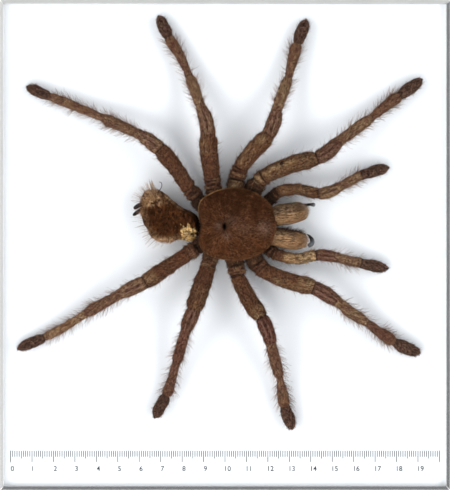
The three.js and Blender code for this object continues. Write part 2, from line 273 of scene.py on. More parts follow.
def ringed_mesh(name, rings, values=None):
    """A closed mesh from rings shaped (rings, sides, 3), with values stored on its points."""
    count, sides, _ = rings.shape
    points = np.vstack([rings.reshape(-1, 3), rings[0].mean(0), rings[-1].mean(0)])
    here = np.arange(sides)
    after = (here + 1) % sides
    start = (np.arange(count - 1) * sides)[:, None]
    quads = np.stack([start + here, start + after, start + sides + after, start + sides + here], 2)
    faces, last = quads.reshape(-1, 4).tolist(), (count - 1) * sides
    for a, b in zip(here.tolist(), after.tolist()):
        faces += [[count * sides, b, a], [count * sides + 1, last + a, last + b]]
    mesh = bpy.data.meshes.new(name)
    mesh.from_pydata((points * MM).tolist(), [], faces)
    for key, data in (values or {}).items():
        data = np.broadcast_to(data, (count, sides, *np.shape(data)[2:]))
        flat = np.concatenate([data.reshape(count * sides, *data.shape[2:]), [data[0].mean(0), data[-1].mean(0)]])
        kind, field = ("FLOAT", "value") if flat.ndim == 1 else ("FLOAT_VECTOR", "vector")
        layer = mesh.attributes.new(key, kind, "POINT")
        layer.data.foreach_set(field, flat.astype(np.float32).ravel())
    work = bmesh.new()
    work.from_mesh(mesh)
    bmesh.ops.recalc_face_normals(work, faces=work.faces)
    work.to_mesh(mesh)
    work.free()
    mesh.shade_smooth()
    return mesh


def curve_through(points, places):
    """Centripetal curve through the points; place 2.5 is halfway from point 2 to point 3."""
    points = np.asarray(points, float)
    full = np.vstack([2 * points[0] - points[1], points, 2 * points[-1] - points[-2]])
    found = []
    for place in places:
        step = min(int(place), len(points) - 2)
        a, b, c, d = full[step:step + 4]
        first, middle, last = (math.sqrt(np.linalg.norm(q - p)) for p, q in ((a, b), (b, c), (c, d)))
        leave = middle * ((b - a) / first - (c - a) / (first + middle) + (c - b) / middle)
        reach = middle * ((c - b) / middle - (d - b) / (middle + last) + (d - c) / last)
        t = place - step
        bend = -3 * b + 3 * c - 2 * leave - reach
        found.append(b + t * (leave + t * (bend + t * (2 * b - 2 * c + leave + reach))))
    return np.array(found)


def directions(points):
    along = np.gradient(points, axis=0)
    along /= np.linalg.norm(along, axis=1)[:, None]
    left = np.stack([-along[:, 1], along[:, 0], np.zeros(len(along))], 1)
    left /= np.linalg.norm(left, axis=1)[:, None]
    return along, left, np.cross(along, left)


def tube(centre, left, above, radius, sin, cos, tallness):
    """Rings round a path."""
    across, upward = radius * sin, radius * cos * tallness
    return centre[:, None] + left[:, None] * across[:, :, None] + above[:, None] * upward[:, :, None]


def reach_at(reaches, turn):
    """A smooth closed outline through evenly spaced reaches; turn runs from 0 to 1."""
    count = len(reaches)
    spot = (turn % 1) * count
    first = np.floor(spot).astype(int)
    a, b, c, d = (np.asarray(reaches)[(first + k) % count] for k in (-1, 0, 1, 2))
    t = spot - first
    return b + t / 2 * (c - a + t * (2 * a - 5 * b + 4 * c - d + t * (3 * b - a - 3 * c + d)))


print("shape helpers ready")

# %% [markdown]
# ## Finishes
# A spider's colour is in its hairs, which lie combed towards the tip of each part. The group
# below paints fine long streaks over slow mottling, from coordinates stored on the points: how
# far along, and where round. Every furred material uses it with its own three colours.


# %% The combed coat as a shader group
def combed_coat_group():
    nodes, given = new_group(
        "Combed coat", "ShaderNodeTree",
        {"Vector": ["Place"], "Color": ["Dark", "Light", "Mottle"],
         "Float": ["Fineness", "Mottle Size", "Contrast", "Specks"]}, {"Color": ["Color"], "Float": ["Streak"]})
    lying = nodes.out("ShaderNodeVectorMath", {0: given["Place"], 1: (0.4, 1, 1)}, operation="MULTIPLY")
    fine = nodes.cloud(lying, given["Fineness"], 4.0, 0.65)
    slow = nodes.cloud(given["Place"], nodes.calc("DIVIDE", 1.0, given["Mottle Size"]), 3.0)
    stronger = nodes.calc("MULTIPLY_ADD", nodes.calc("SUBTRACT", fine, 0.5), given["Contrast"], 0.5)
    streak = nodes.eased(stronger, 0.3, 0.7)
    streaked = nodes.mix(streak, given["Dark"], given["Light"])
    colour = nodes.mix(nodes.eased(slow, 0.42, 0.68, 0.0, 0.65), streaked, given["Mottle"])
    grain = nodes.eased(nodes.cloud(given["Place"], 1.5), 0.5, 0.66)
    shadowed = nodes.mix(1.0, given["Dark"], (0.4, 0.4, 0.4, 1), "MULTIPLY")
    colour = nodes.over(grain, given["Specks"], colour, shadowed)
    nodes.add("NodeGroupOutput", {"Color": colour, "Streak": streak})
    return nodes.tree


COMBED_COAT = combed_coat_group()


def lit(brightness, colour):
    return (*(c * brightness for c in colour), 1)


def coat(nodes, brightness, dark, light, mottle, fineness, mottle_size, contrast, specks):
    """The colour of one kind of combed hair, and its streaks."""
    return nodes.add("ShaderNodeGroup", {
        "Place": nodes.stored("combed", "Vector"), "Dark": lit(brightness, dark),
        "Light": lit(brightness, light), "Mottle": lit(brightness, mottle), "Fineness": fineness,
        "Mottle Size": mottle_size, "Contrast": contrast, "Specks": specks}, node_tree=COMBED_COAT).outputs


def new_material(name, roughness, specular, metallic=0.0):
    """A material, the maker of its nodes, and the inputs of its main shader."""
    material = bpy.data.materials.new(name)
    material.use_nodes = True
    material.node_tree.nodes.clear()
    nodes = Nodes(material.node_tree)
    numbers = {"Roughness": roughness, "Specular IOR Level": specular, "Metallic": metallic}
    shader = nodes.add("ShaderNodeBsdfPrincipled", numbers)
    nodes.add("ShaderNodeOutputMaterial", {"Surface": shader.outputs[0]})
    return material, nodes, shader.inputs


def clouded(name, roughness, specular, scale, first, second):
    """A material of two colours in clouds."""
    material, nodes, shader = new_material(name, roughness, specular)
    nodes.feed(shader["Base Color"], nodes.mix(nodes.cloud(nodes.place(), scale), first, second))
    return material, nodes, shader


def skin_and_hair(paint, skin_row, bump, hair_row, darkest, lightest):
    """The materials of a skin and its hair, painted alike. A row has the name, roughness, specular
    and brightness; bump has the depth in millimetres and the strength."""
    made = []
    for name, roughness, specular, brightness in (skin_row, hair_row):
        material, nodes, shader = new_material(name, roughness, specular)
        colour, streak = paint(nodes, brightness)
        if made:
            spread = nodes.mix(nodes.stored("shade"), (*darkest, 1), (*lightest, 1))
            colour = nodes.mix(1.0, colour, spread, "MULTIPLY")
        else:
            nodes.bump(shader, streak, *bump)
        nodes.feed(shader["Base Color"], colour)
        made.append(material)
    return made


print("finish helpers ready")

# %% [markdown]
# ## Frame rails and board
# Real rails of this kind are drawn aluminium, cut at 45 degrees. The CAD solids have razor edges,
# which no metal has, and a razor edge catches no light. So each rail is a merged copy of its
# solid with a small bevel. The board is foam card with a matt white paper face. It is a plain
# sheet, so a copy of its solid will do, grown a little so that it meets the rails.

# %% Satin metal and white card
EDGE_ROUNDING, EDGE_SEGMENTS, EDGE_ANGLE = 0.1 * MM, 3, math.radians(20)
MERGE_DISTANCE = 0.01 * MM
CARD_GROWTH = 0.27 * MM  # the solid leaves a gap all round, and a real card touches its rails


def satin_metal():
    material, nodes, shader = new_material("satin rail metal", 0.2, 0.5, metallic=1.0)
    place = nodes.place()
    grime = nodes.eased(nodes.cloud(place, 60.0, 5.0), 0.3, 0.75)
    nodes.feed(shader["Base Color"], nodes.mix(grime, (0.70, 0.70, 0.70, 1), (0.66, 0.66, 0.66, 1)))
    nodes.feed(shader["Roughness"], nodes.eased(nodes.cloud(place, 1500.0), 0.2, 0.8, 0.17, 0.22))
    return material


def white_card():
    material, nodes, shader = clouded(
        "white card", 0.85, 0.2, 25.0, (0.93, 0.935, 0.945, 1), (0.90, 0.905, 0.915, 1))
    nodes.bump(shader, nodes.cloud(nodes.place(), 2500.0, 3.0), 0.02, 0.2)
    return material


def merged_copy(node, flatten):
    """A copy of a solid's mesh without doubled points and, if wanted, without edges in flat faces."""
    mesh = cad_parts[node].data.copy()
    mesh.materials.clear()
    work = bmesh.new()
    work.from_mesh(mesh)
    bmesh.ops.remove_doubles(work, verts=work.verts, dist=MERGE_DISTANCE)
    if flatten:
        bmesh.ops.dissolve_limit(work, angle_limit=0.01, verts=work.verts, edges=work.edges)
    work.to_mesh(mesh)
    work.free()
    return mesh


RAIL_METAL = satin_metal()
for edge in ("top", "bottom", "left", "right"):
    node = f"frame_rail_{edge}"
    rail = finish_piece(f"rail_{edge}", merged_copy(node, True), [RAIL_METAL], [node])
    rounding = rail.modifiers.new("rounded edges", "BEVEL")
    rounding.width, rounding.segments = EDGE_ROUNDING, EDGE_SEGMENTS
    rounding.limit_method, rounding.angle_limit = "ANGLE", EDGE_ANGLE
card_mesh = merged_copy("backing_board", False)
for vertex in card_mesh.vertices:
    vertex.co.x += math.copysign(CARD_GROWTH, vertex.co.x)
    vertex.co.y += math.copysign(CARD_GROWTH, vertex.co.y)
finish_piece("board_card", card_mesh, [white_card()], ["backing_board"])
print("four rails with rounded edges, and the board")

# %% [markdown]
# ## Printed scale
# The scale is twenty centimetres of ink. Ticks repeat by a rule, so Geometry Nodes lays one thin
# strip every millimetre and makes every fifth and every tenth longer. The numerals are Blender's
# plain type, made into meshes of the same thickness as the ink.

# %% Ticks
SCALE_TICKS, SCALE_LEFT, SCALE_TOP = 201, -100.0, -95.9
TICK_WIDTH, INK_HEIGHT = 0.37, 0.03
TICK_LENGTHS = {"Millimetre": 2.9, "Five": 3.7, "Centimetre": 5.4}


def ticks_tree():
    nodes, given = new_group(
        "Scale ticks", "GeometryNodeTree",
        {"Geometry": ["Geometry"], "Int": ["Count"], "Float": ["Pitch", "Width", "Thickness", *TICK_LENGTHS],
         "Vector": ["Start"], "Material": ["Material"]}, {"Geometry": ["Geometry"]})
    step = nodes.out("ShaderNodeCombineXYZ", {"X": given["Pitch"]})
    line = nodes.out("GeometryNodeMeshLine", {
        "Count": given["Count"], "Start Location": given["Start"], "Offset": step})
    index = nodes.out("GeometryNodeInputIndex")
    length = given["Millimetre"]
    for number, kind in ((5.0, "Five"), (10.0, "Centimetre")):
        longer = nodes.calc("LESS_THAN", nodes.calc("MODULO", index, number), 0.5)
        length = nodes.out("GeometryNodeSwitch", {"Switch": longer, "False": length, "True": given[kind]},
                           input_type="FLOAT")
    box = nodes.out("GeometryNodeMeshCube", {"Size": (1, 1, 1)}, "Mesh")
    hung = nodes.out("GeometryNodeTransform", {"Geometry": box, "Translation": (0, -0.5, 0.5)})
    size = nodes.out("ShaderNodeCombineXYZ", {"X": given["Width"], "Y": length, "Z": given["Thickness"]})
    ticks = nodes.out("GeometryNodeInstanceOnPoints", {"Points": line, "Instance": hung, "Scale": size})
    return nodes.end(ticks, given["Material"])


def plain_mesh(thing):
    """What an object makes, as a plain mesh; the object goes."""
    seen = thing.evaluated_get(bpy.context.evaluated_depsgraph_get())
    mesh = bpy.data.meshes.new_from_object(seen)
    thing.modifiers.clear()
    bpy.data.objects.remove(thing)
    return mesh


def grown(name, tree, base_mesh, inputs):
    """Runs a tree on a mesh and returns the result as a plain mesh."""
    holder = placed(f"{name}_maker", base_mesh)
    modifier = holder.modifiers.new("nodes", "NODES")
    modifier.node_group = tree
    for item in tree.interface.items_tree:
        if item.item_type == "SOCKET" and item.in_out == "INPUT" and item.name in inputs:
            modifier[item.identifier] = inputs[item.name]
    mesh = plain_mesh(holder)
    mesh.name = name
    mesh.materials.clear()
    mesh.materials.append(inputs["Material"])
    mesh.polygons.foreach_set("material_index", [0] * len(mesh.polygons))
    return mesh


INK, *_ = clouded("printing ink", 0.6, 0.3, 3000.0, (0.02, 0.02, 0.022, 1), (0.05, 0.05, 0.055, 1))
tick_inputs = {key: value * MM for key, value in TICK_LENGTHS.items()}
tick_inputs |= {"Count": SCALE_TICKS, "Pitch": MM, "Width": TICK_WIDTH * MM, "Thickness": INK_HEIGHT * MM}
tick_inputs |= {"Start": (SCALE_LEFT * MM, SCALE_TOP * MM, BOARD_FACE * MM), "Material": INK}
tick_mesh = grown("scale_ticks", ticks_tree(), bpy.data.meshes.new("no_surface"), tick_inputs)
finish_piece("scale_ticks", tick_mesh, [INK])
print(f"{len(tick_mesh.polygons) // 6} ticks")

# %% Numerals under the centimetre ticks
NUMERALS, NUMERAL_HEIGHT, NUMERAL_BASE, NUMERAL_INDENT = 20, 2.4, -105.4, 0.1
TYPE_SIZE = 1.38  # size of the type over the height of its figures
NUMERAL_BOLDNESS = 0.05  # much more than this breaks the figure 8 open


def numeral_mesh(number):
    curve = bpy.data.curves.new(f"numeral_{number}", "FONT")
    curve.body = str(number)
    curve.size = NUMERAL_HEIGHT * TYPE_SIZE * MM
    curve.extrude, curve.offset = INK_HEIGHT / 2 * MM, NUMERAL_BOLDNESS * MM
    curve.fill_mode = "BOTH"
    mesh = plain_mesh(placed(f"numeral_{number}", curve))
    low = min(v.co.x for v in mesh.vertices)
    x = (SCALE_LEFT + 10 * number + NUMERAL_INDENT) * MM - low
    for vertex in mesh.vertices:
        vertex.co += Vector((x, NUMERAL_BASE * MM, (BOARD_FACE + INK_HEIGHT / 2) * MM))
    return mesh


def join_meshes(name, meshes):
    work = bmesh.new()
    for mesh in meshes:
        work.from_mesh(mesh)
    joined = bpy.data.meshes.new(name)
    work.to_mesh(joined)
    work.free()
    return joined


numerals = join_meshes("scale_numerals", [numeral_mesh(number) for number in range(NUMERALS)])
finish_piece("scale_numerals", numerals, [INK])
print(f"{NUMERALS} numerals")

# %% [markdown]
# ## Hairs
# A spider has two coats: short velvet that lies down, and long bristles that stand out. Both are
# thin three-sided spikes scattered over a skin, so one tree makes both. It reads the direction
# of the comb and a mask from the skin's points, and each hair starts along the comb, lifted a
# little towards the skin's normal. Spikes are real geometry, because a simulated coat of hair
# curves is lost on export.

# %% The tree of hairs: density per square millimetre, length in millimetres, the rest as shares
HAIR_NUMBERS = ["Density", "Length", "Shortest", "Slimness", "Tip", "Lift", "Disorder", "Bend", "Joints"]
HAIR_KINDS = {
    "limb velvet": (7.0, 1.1, 0.5, 0.055, 0.0, 0.32, 0.3, 0.1, 1),
    "limb tuft": (2.2, 1.9, 0.4, 0.05, 0.0, 0.45, 0.35, 0.15, 1),
    "limb bristle": (2.8, 5.0, 0.3, 0.0155, 0.35, 0.6, 0.25, 0.15, 2),
    "carapace down": (4.5, 0.9, 0.5, 0.075, 0.0, 0.16, 0.3, 0.1, 1),
    "abdomen fur": (5.5, 1.6, 0.5, 0.05, 0.0, 0.26, 0.3, 0.15, 1),
    "abdomen long": (0.9, 5.8, 0.3, 0.013, 0.5, 0.35, 0.35, 0.2, 3),
    "abdomen tuft": (5.0, 6.2, 0.3, 0.016, 0.4, 0.25, 0.3, 0.25, 3),
    "jaw combed": (6.0, 1.9, 0.5, 0.038, 0.0, 0.11, 0.08, 0.2, 1),
    "jaw fringe": (6.0, 3.1, 0.4, 0.045, 0.0, 0.72, 0.2, 0.2, 2),
}


def enabled(sockets, name=None):
    return next(s for s in sockets if s.enabled and name in (None, s.name))


def hair_tree():
    nodes, given = new_group(
        "Coat of hairs", "GeometryNodeTree",
        {"Geometry": ["Geometry"], "Float": HAIR_NUMBERS[:-1], "Int": ["Joints", "Seed"],
         "String": ["Mask"], "Material": ["Material"]}, {"Geometry": ["Geometry"]})

    def vector(operation, *values, **scale):
        return nodes.out("ShaderNodeVectorMath", {**dict(enumerate(values)), **scale}, operation=operation)

    def chance(kind, low, high, shift):
        node = nodes.add("FunctionNodeRandomValue", data_type=kind)
        nodes.feed(enabled(node.inputs, "Min"), low)
        nodes.feed(enabled(node.inputs, "Max"), high)
        nodes.feed(node.inputs["Seed"], nodes.calc("ADD", given["Seed"], shift))
        return enabled(node.outputs)

    def named(kind, name):
        return enabled(nodes.add("GeometryNodeInputNamedAttribute", {"Name": name}, data_type=kind).outputs)

    mask, comb = named("FLOAT", given["Mask"]), named("FLOAT_VECTOR", "toward_tip")
    spread = nodes.add("GeometryNodeDistributePointsOnFaces", {
        "Mesh": given["Geometry"], "Density": nodes.calc("MULTIPLY", given["Density"], mask),
        "Seed": given["Seed"]}, distribute_method="RANDOM").outputs
    lifted = vector("SCALE", spread["Normal"], Scale=given["Lift"])
    lying = vector("SCALE", comb, Scale=nodes.calc("SUBTRACT", 1.0, given["Lift"]))
    astray = vector("SCALE", chance("FLOAT_VECTOR", (-1, -1, -1), (1, 1, 1), 1.0), Scale=given["Disorder"])
    heading = vector("NORMALIZE", vector("ADD", vector("ADD", lifted, lying), astray))
    turned = nodes.out("FunctionNodeAlignRotationToVector", {"Vector": heading}, axis="Z")
    turned = nodes.out("FunctionNodeAlignRotationToVector", {"Rotation": turned, "Vector": comb},
                       axis="X", pivot_axis="Z")

    spike = nodes.out("GeometryNodeMeshCone", {
        "Vertices": 3, "Side Segments": given["Joints"], "Radius Bottom": given["Slimness"], "Depth": 1.0,
        "Radius Top": nodes.calc("MULTIPLY", given["Tip"], given["Slimness"])}, "Mesh", fill_type="NONE")
    height = nodes.split(nodes.out("GeometryNodeInputPosition"))["Z"]
    bow = nodes.calc("MULTIPLY", nodes.calc("POWER", height, 2.0), given["Bend"])
    hair = nodes.out("GeometryNodeSetPosition", {
        "Geometry": spike, "Offset": nodes.out("ShaderNodeCombineXYZ", {"X": bow})})

    range_left = nodes.calc("SUBTRACT", 1.0, given["Shortest"])
    drawn = nodes.calc("MULTIPLY", chance("FLOAT", 0.0, 1.0, 2.0), range_left)
    varied = nodes.calc("MULTIPLY", given["Length"], nodes.calc("ADD", given["Shortest"], drawn))
    fade = nodes.calc("POWER", nodes.calc("MINIMUM", mask, 1.0), 0.5)
    standing = nodes.out("GeometryNodeInstanceOnPoints", {
        "Points": spread["Points"], "Instance": hair, "Rotation": turned,
        "Scale": nodes.calc("MULTIPLY", varied, fade)})
    shaded = nodes.add("GeometryNodeStoreNamedAttribute", {"Geometry": standing, "Name": "shade"},
                       data_type="FLOAT", domain="INSTANCE")
    nodes.feed(enabled(shaded.inputs, "Value"), chance("FLOAT", 0.0, 1.0, 3.0))
    return nodes.end(shaded.outputs[0], given["Material"])


HAIRS = hair_tree()
hair_total = 0


def add_coat(name, skin, layers):
    """One piece of hair over a skin. A layer has its kind, mask, material and seed."""
    global hair_total
    meshes = []
    for order, (kind, mask, material, seed) in enumerate(layers):
        inputs = dict(zip(HAIR_NUMBERS, HAIR_KINDS[kind]))
        inputs |= {"Seed": seed, "Mask": mask, "Material": material}
        inputs["Density"] /= MM**2
        inputs["Length"] *= MM
        mesh = grown(f"{name} {kind}", HAIRS, skin, inputs)
        mesh.polygons.foreach_set("material_index", [order] * len(mesh.polygons))
        meshes.append(mesh)
    mesh = join_meshes(name, meshes)
    mesh.shade_smooth()
    faces = sum(len(p.vertices) - 2 for p in mesh.polygons)
    hair_total += faces
    finish_piece(name, mesh, [layer[2] for layer in layers])
    print(f"{name}: {faces} triangles")


def plain_hair(name, dark, light):
    """Hair of one colour, some of it darker and some lighter."""
    material, nodes, shader = new_material(name, 0.6, 0.12)
    nodes.feed(shader["Base Color"], nodes.mix(nodes.stored("shade"), (*dark, 1), (*light, 1)))
    return material


DARK_TUFT = plain_hair("dark stiff hair", (0.02, 0.01, 0.006), (0.09, 0.045, 0.025))
BRISTLE = plain_hair("light brown bristle", (0.09, 0.042, 0.025), (0.36, 0.195, 0.12))
TAN_FUR = plain_hair("long tan fur", (0.2, 0.11, 0.055), (0.62, 0.42, 0.26))

# %% [markdown]
# ## Legs and palps
# Each limb grew as one piece: horn tubes joined by soft skin. The joints below are the same as in
# the CAD model: where the limb leaves the body, then the bearing, length and bow of each segment.
# A segment's far end is a cuff that the next one dips into, which leaves a dark slit.

# %% Joints and widths, in millimetres and degrees
# A build has each segment's width near, halfway and far, then the height of each joint.
FRONT_LEG = (
    [(5.6, 7.6, 7.6), (7.6, 7.6, 7.4), (7.1, 7.8, 8.2), (6.6, 6.8, 6.3),
     (4.8, 5.2, 5.0), (3.6, 4.9, 5.6), (4.8, 5.7, 4.3)],
    [6.2, 6.4, 6.9, 10.5, 9.0, 5.2, 3.3, 2.6])
THIRD_LEG = (
    [(5.4, 7.0, 7.2), (7.2, 7.4, 7.3), (7.5, 8.3, 8.5), (6.8, 6.8, 6.2),
     (4.6, 4.9, 5.4), (3.6, 4.4, 5.2), (4.7, 5.4, 4.0)],
    [6.2, 6.4, 6.9, 10.5, 9.0, 5.2, 3.2, 2.6])
FOURTH_LEG = (
    [(5.4, 6.8, 6.9), (6.9, 7.1, 6.9), (6.7, 7.2, 7.8), (6.6, 6.6, 6.0),
     (4.4, 4.9, 5.6), (3.6, 4.0, 4.5), (4.2, 5.0, 3.8)],
    [6.2, 6.4, 6.9, 10.5, 9.0, 5.2, 3.0, 2.5])
PALP = (
    [(4.6, 5.2, 5.2), (5.3, 5.4, 5.4), (5.3, 5.1, 5.5), (5.3, 5.5, 5.0), (4.3, 4.7, 4.3), (4.2, 5.3, 3.8)],
    [5.6, 5.8, 6.6, 8.0, 7.0, 4.2, 2.6])
LIMBS = {
    "pedipalp_left": (PALP, (17.7, 19.1), [
        (35, 4.1), (43, 4.5), (-2, 18.6, 1.6), (16, 10.2, -0.8), (28.5, 11.9), (16.5, 13.9)]),
    "leg_1_left": (FRONT_LEG, (10.3, 20.0), [
        (63, 9.4), (43, 4.8), (19.5, 25.7, 1.1), (36, 12.9, -0.8), (36.5, 19.1), (38, 16.6, 0.3),
        (36.5, 13.4)]),
    "leg_2_left": (FRONT_LEG, (3.7, 20.5), [
        (80, 9.7), (74, 5.8), (49.5, 20.0, 0.5), (70.5, 11.9, -0.5), (71, 16.7, 0.2), (75, 16.5, 0.2),
        (69.5, 12.2)]),
    "leg_3_left": (THIRD_LEG, (-3.7, 19.6), [
        (105, 6.3), (97, 5.6), (95.5, 19.7, 0.3), (103, 12.0, -0.7), (110.5, 16.9), (118, 20.6, -0.7),
        (115.5, 11.4)]),
    "leg_4_left": (FOURTH_LEG, (-8.4, 15.8), [
        (130, 7.3), (125.5, 6.0), (127, 22.5, -0.5), (144, 11.0, -0.3), (155, 20.0, -0.1),
        (158, 26.7, -0.3), (156.5, 11.7)]),
    "pedipalp_right": (PALP, (17.7, 0), [
        (-39, 3.3), (-33, 3.9), (-1.5, 18.6, -2), (-7, 9.8, 0.4), (-13, 11.4), (-11, 13.5)]),
    "leg_1_right": (FRONT_LEG, (10.3, -1.4), [
        (-58, 8.8), (-43, 4.8), (-18.5, 23.7, -0.8), (-30.5, 12.4, 0.3), (-35.5, 17.3, -0.5),
        (-34.5, 16.2, -0.3), (-23.5, 13.1, -0.5)]),
    "leg_2_right": (FRONT_LEG, (3.7, -1.9), [
        (-81, 7.5), (-77.5, 5.5), (-60.5, 21.6, -0.9), (-69, 12.5, 0.5), (-75.5, 16.8, -0.2),
        (-80, 14.0), (-71.5, 11.4)]),
    "leg_3_right": (THIRD_LEG, (-3.7, -0.5), [
        (-122, 6.1), (-103, 5.0), (-108.5, 20.3), (-110.5, 10.5), (-106.5, 15.8), (-107, 16.0, 0.3),
        (-118.5, 12.1)]),
    "leg_4_right": (FOURTH_LEG, (-8.4, 2.8), [
        (-140, 5.8), (-145, 5.7), (-146.5, 23.3), (-154, 12.9), (-150.5, 18.4), (-150, 22.4, 0.4),
        (-157, 14.1)]),
}
LEG_PARTS = ["coxa", "trochanter", "femur", "patella", "tibia", "metatarsus", "tarsus"]
PALP_PARTS = ["coxa", "trochanter", "femur", "patella", "tibia", "tarsus"]

# %% How limbs and their parts look
LIMB_SIDES, LIMB_FLATNESS, RING_STEP = 72, 0.88, 0.45
COAT_DEPTH = 0.15  # the velvet adds about this much to the radius
CUFF_DISTANCES = (0.0, 0.12, 0.26, 0.45, 0.75)
NUB_WIDTH = 1.6  # the tuft that hides the claws
STRIPE_ANGLE = 21.0
# The joint at the far end of each part: its width over the narrower neighbour's, and its slit.
JOINTS = {
    "coxa": (0.98, 0.5), "trochanter": (0.98, 0.5), "femur": (0.97, 0.8), "patella": (1.1, 0.1),
    "tibia": (1.08, 0.25), "metatarsus": (0.85, 0.5),
}
# Joints whose slit is plainer or fainter than that.
SLITS = {
    "pedipalp_left": {"tibia": 0.7}, "leg_1_left": {"trochanter": 0.15},
    "leg_2_left": {"coxa": 0.9, "trochanter": 0.9, "femur": 0.5}, "leg_3_left": {"trochanter": 0.1, "femur": 0.2},
    "leg_4_left": {"trochanter": 0.7}, "pedipalp_right": {"tibia": 0.7}, "leg_1_right": {"trochanter": 0.3},
    "leg_2_right": {"trochanter": 0.9, "femur": 1.0}, "leg_3_right": {"trochanter": 0.2, "femur": 0.12},
}
BALD = {"patella": 1.0, "tibia": 0.5, "metatarsus": 0.3, "femur": 0.1}
BRISTLES = {"coxa": 0.2, "trochanter": 0.3, "femur": 0.4, "patella": 0.45, "tibia": 1.0, "metatarsus": 1.0,
            "tarsus": 0.25}
REDNESS = {"patella": 0.9, "tibia": 0.65, "metatarsus": 0.85, "trochanter": 0.3}
WRINKLES = {"coxa": 0.4, "trochanter": 1.0}
# From brown to sandy, strength of the painted highlights on the trochanter's folds, darkness of the
# painted shade on the root under the carapace and its reach, dimness of the femur, and sandy wear of
# patella, tibia and metatarsus.
LIMB_LOOKS = {
    "pedipalp_left": (0.95, 0, 0.95, 8.5, 0.16, (0.5, 0.45, 0)),
    "leg_1_left": (0.75, 0.2, 0.9, 9.0, 0.18, (0.2, 0.4, 0.2)),
    "leg_2_left": (0.6, 0.25, 0.4, 4.5, 0, (0.2, 0.5, 0.25)),
    "leg_3_left": (0.3, 0.2, 0.7, 7.0, 0, (0.25, 0.45, 0.2)),
    "leg_4_left": (0.4, 0.15, 0.9, 10.5, 0, (0.3, 0.3, 0.3)),
    "pedipalp_right": (0.7, 0, 0.85, 6.0, 0, (0.15, 0.4, 0)),
    "leg_1_right": (0.65, 0.1, 0.75, 7.5, 0, (0.1, 0.45, 0.1)),
    "leg_2_right": (0.6, 0.35, 0.6, 5.0, 0.12, (0, 0.15, 0.25)),
    "leg_3_right": (0.45, 0.55, 0.55, 4.5, 0.2, (0.15, 0, 0.1)),
    "leg_4_right": (0.4, 0.15, 0.65, 7.5, 0, (0.3, 0.2, 0.5)),
}
# Worn or light places: segment, share along from and to, angle round, half width, plainness.
TAN_PLACES = {
    "pedipalp_left": [("femur", 0.1, 0.8, 0, 60, 0.25)],
    "leg_1_left": [("trochanter", 0, 1, 40, 50, 0.9), ("femur", 0.03, 0.6, 22, 16, 1.7),
                   ("femur", 0, 1, 0, 70, 0.3)],
    "leg_2_left": [("coxa", 0.3, 0.95, 0, 60, 0.55), ("femur", 0.1, 0.9, 20, 35, 0.4),
                   ("tibia", 0, 0.4, -20, 28, 0.7)],
    "leg_3_left": [("femur", 0.6, 1, 30, 40, 0.25)],
    "leg_4_left": [("tibia", 0, 0.5, 35, 40, 0.3)],
    "pedipalp_right": [("femur", 0.25, 1, -15, 80, 1.4), ("tibia", 0.9, 1, 0, 90, 0.7),
                       ("patella", 0.85, 1, 0, 70, 0.3)],
    "leg_1_right": [("femur", 0.7, 1, 15, 60, 0.4), ("femur", 0.25, 0.8, -35, 30, 0.3),
                    ("tibia", 0.93, 1, 0, 90, 0.7), ("metatarsus", 0.9, 1, 10, 60, 0.4),
                    ("tibia", 0.2, 0.9, 0, 60, 0.3)],
    "leg_2_right": [("femur", 0.75, 1, 0, 70, 0.35)],
    "leg_3_right": [("femur", 0.5, 1, 15, 50, 0.2)],
    "leg_4_right": [("femur", 0.75, 1, -10, 60, 0.3)],
}
DARK_DOTS = {"leg_1_left": ("femur", 0.4, 36)}  # one small hole: segment, share along, angle round
print(f"{len(LIMBS)} limbs")


# %% The skin of a limb
def limb_points(start, segments, heights):
    points = [np.array([start[0], start[1], heights[0]])]
    for (bearing, length, *bow), height in zip(segments, heights[1:]):
        angle = math.radians(bearing)
        along = np.array([math.cos(angle), math.sin(angle), 0])
        left = np.array([-along[1], along[0], 0])
        to = points[-1] + along * length
        to[2] = height
        points += [(points[-1] + to) / 2 + left * (bow[0] if bow else 0), to]
    return np.array(points)


def segment_shares(length):
    near = np.array(CUFF_DISTANCES)
    middle = np.arange(near[-1] + RING_STEP, length - near[-1] - RING_STEP / 2, RING_STEP)
    return np.concatenate([near, middle, (length - near[:0:-1])]) / length


def segment_width(widths, share):
    """A parabola through the widths near one end, halfway and near the other."""
    near, middle, far = widths
    a, b, c = 0.12, 0.5, 0.88
    return (
        near * (share - b) * (share - c) / ((a - b) * (a - c))
        + middle * (share - a) * (share - c) / ((b - a) * (b - c))
        + far * (share - a) * (share - b) / ((c - a) * (c - b))
    )


def paw_width(near, middle, share):
    """A blunt oblong pad that ends in a small tuft."""
    pad = near + (middle - near) * ease(0, 0.4, share)
    pad *= math.sqrt(max(0.0, 1 - float(np.clip((share - 0.46) / 0.51, 0, 1)) ** 2.2))
    nub = NUB_WIDTH * math.sqrt(max(0.02, 1 - float(np.clip((share - 0.9) / 0.1, 0, 1)) ** 3))
    return max(pad, nub)


def limb_rings(name):
    """Per ring: place on the path, part, share, width, distance from each joint and their slits."""
    (widths, _), _, segments = LIMBS[name]
    parts = LEG_PARTS if len(segments) == 7 else PALP_PARTS
    slits = [SLITS.get(name, {}).get(part, JOINTS[part][1]) for part in parts[:-1]]
    joints = [JOINTS[part][0] * min(a[2], b[0]) for part, a, b in zip(parts, widths, widths[1:])]
    rows = []
    for index, (_, length, *_) in enumerate(segments):
        is_last = index == len(segments) - 1
        for share in [*segment_shares(length), *([1.0] if is_last else [])]:
            width = paw_width(*widths[index][:2], share) if is_last else segment_width(widths[index], share)
            from_near, from_far = share * length, (1 - share) * length
            if index:
                width = joints[index - 1] + (width - joints[index - 1]) * ease(-0.2, 0.12 * length, from_near)
            else:
                width *= 0.5 + 0.5 * ease(0, 1.5, from_near)
            if not is_last:
                width = joints[index] + (width - joints[index]) * ease(-0.2, 0.2 * length, from_far)
            before = slits[index - 1] if index else 0.0
            after = 0.0 if is_last else slits[index]
            rows.append((2 * (index + share), index, share, width, from_near, from_far, before, after))
    return parts, np.array(rows)


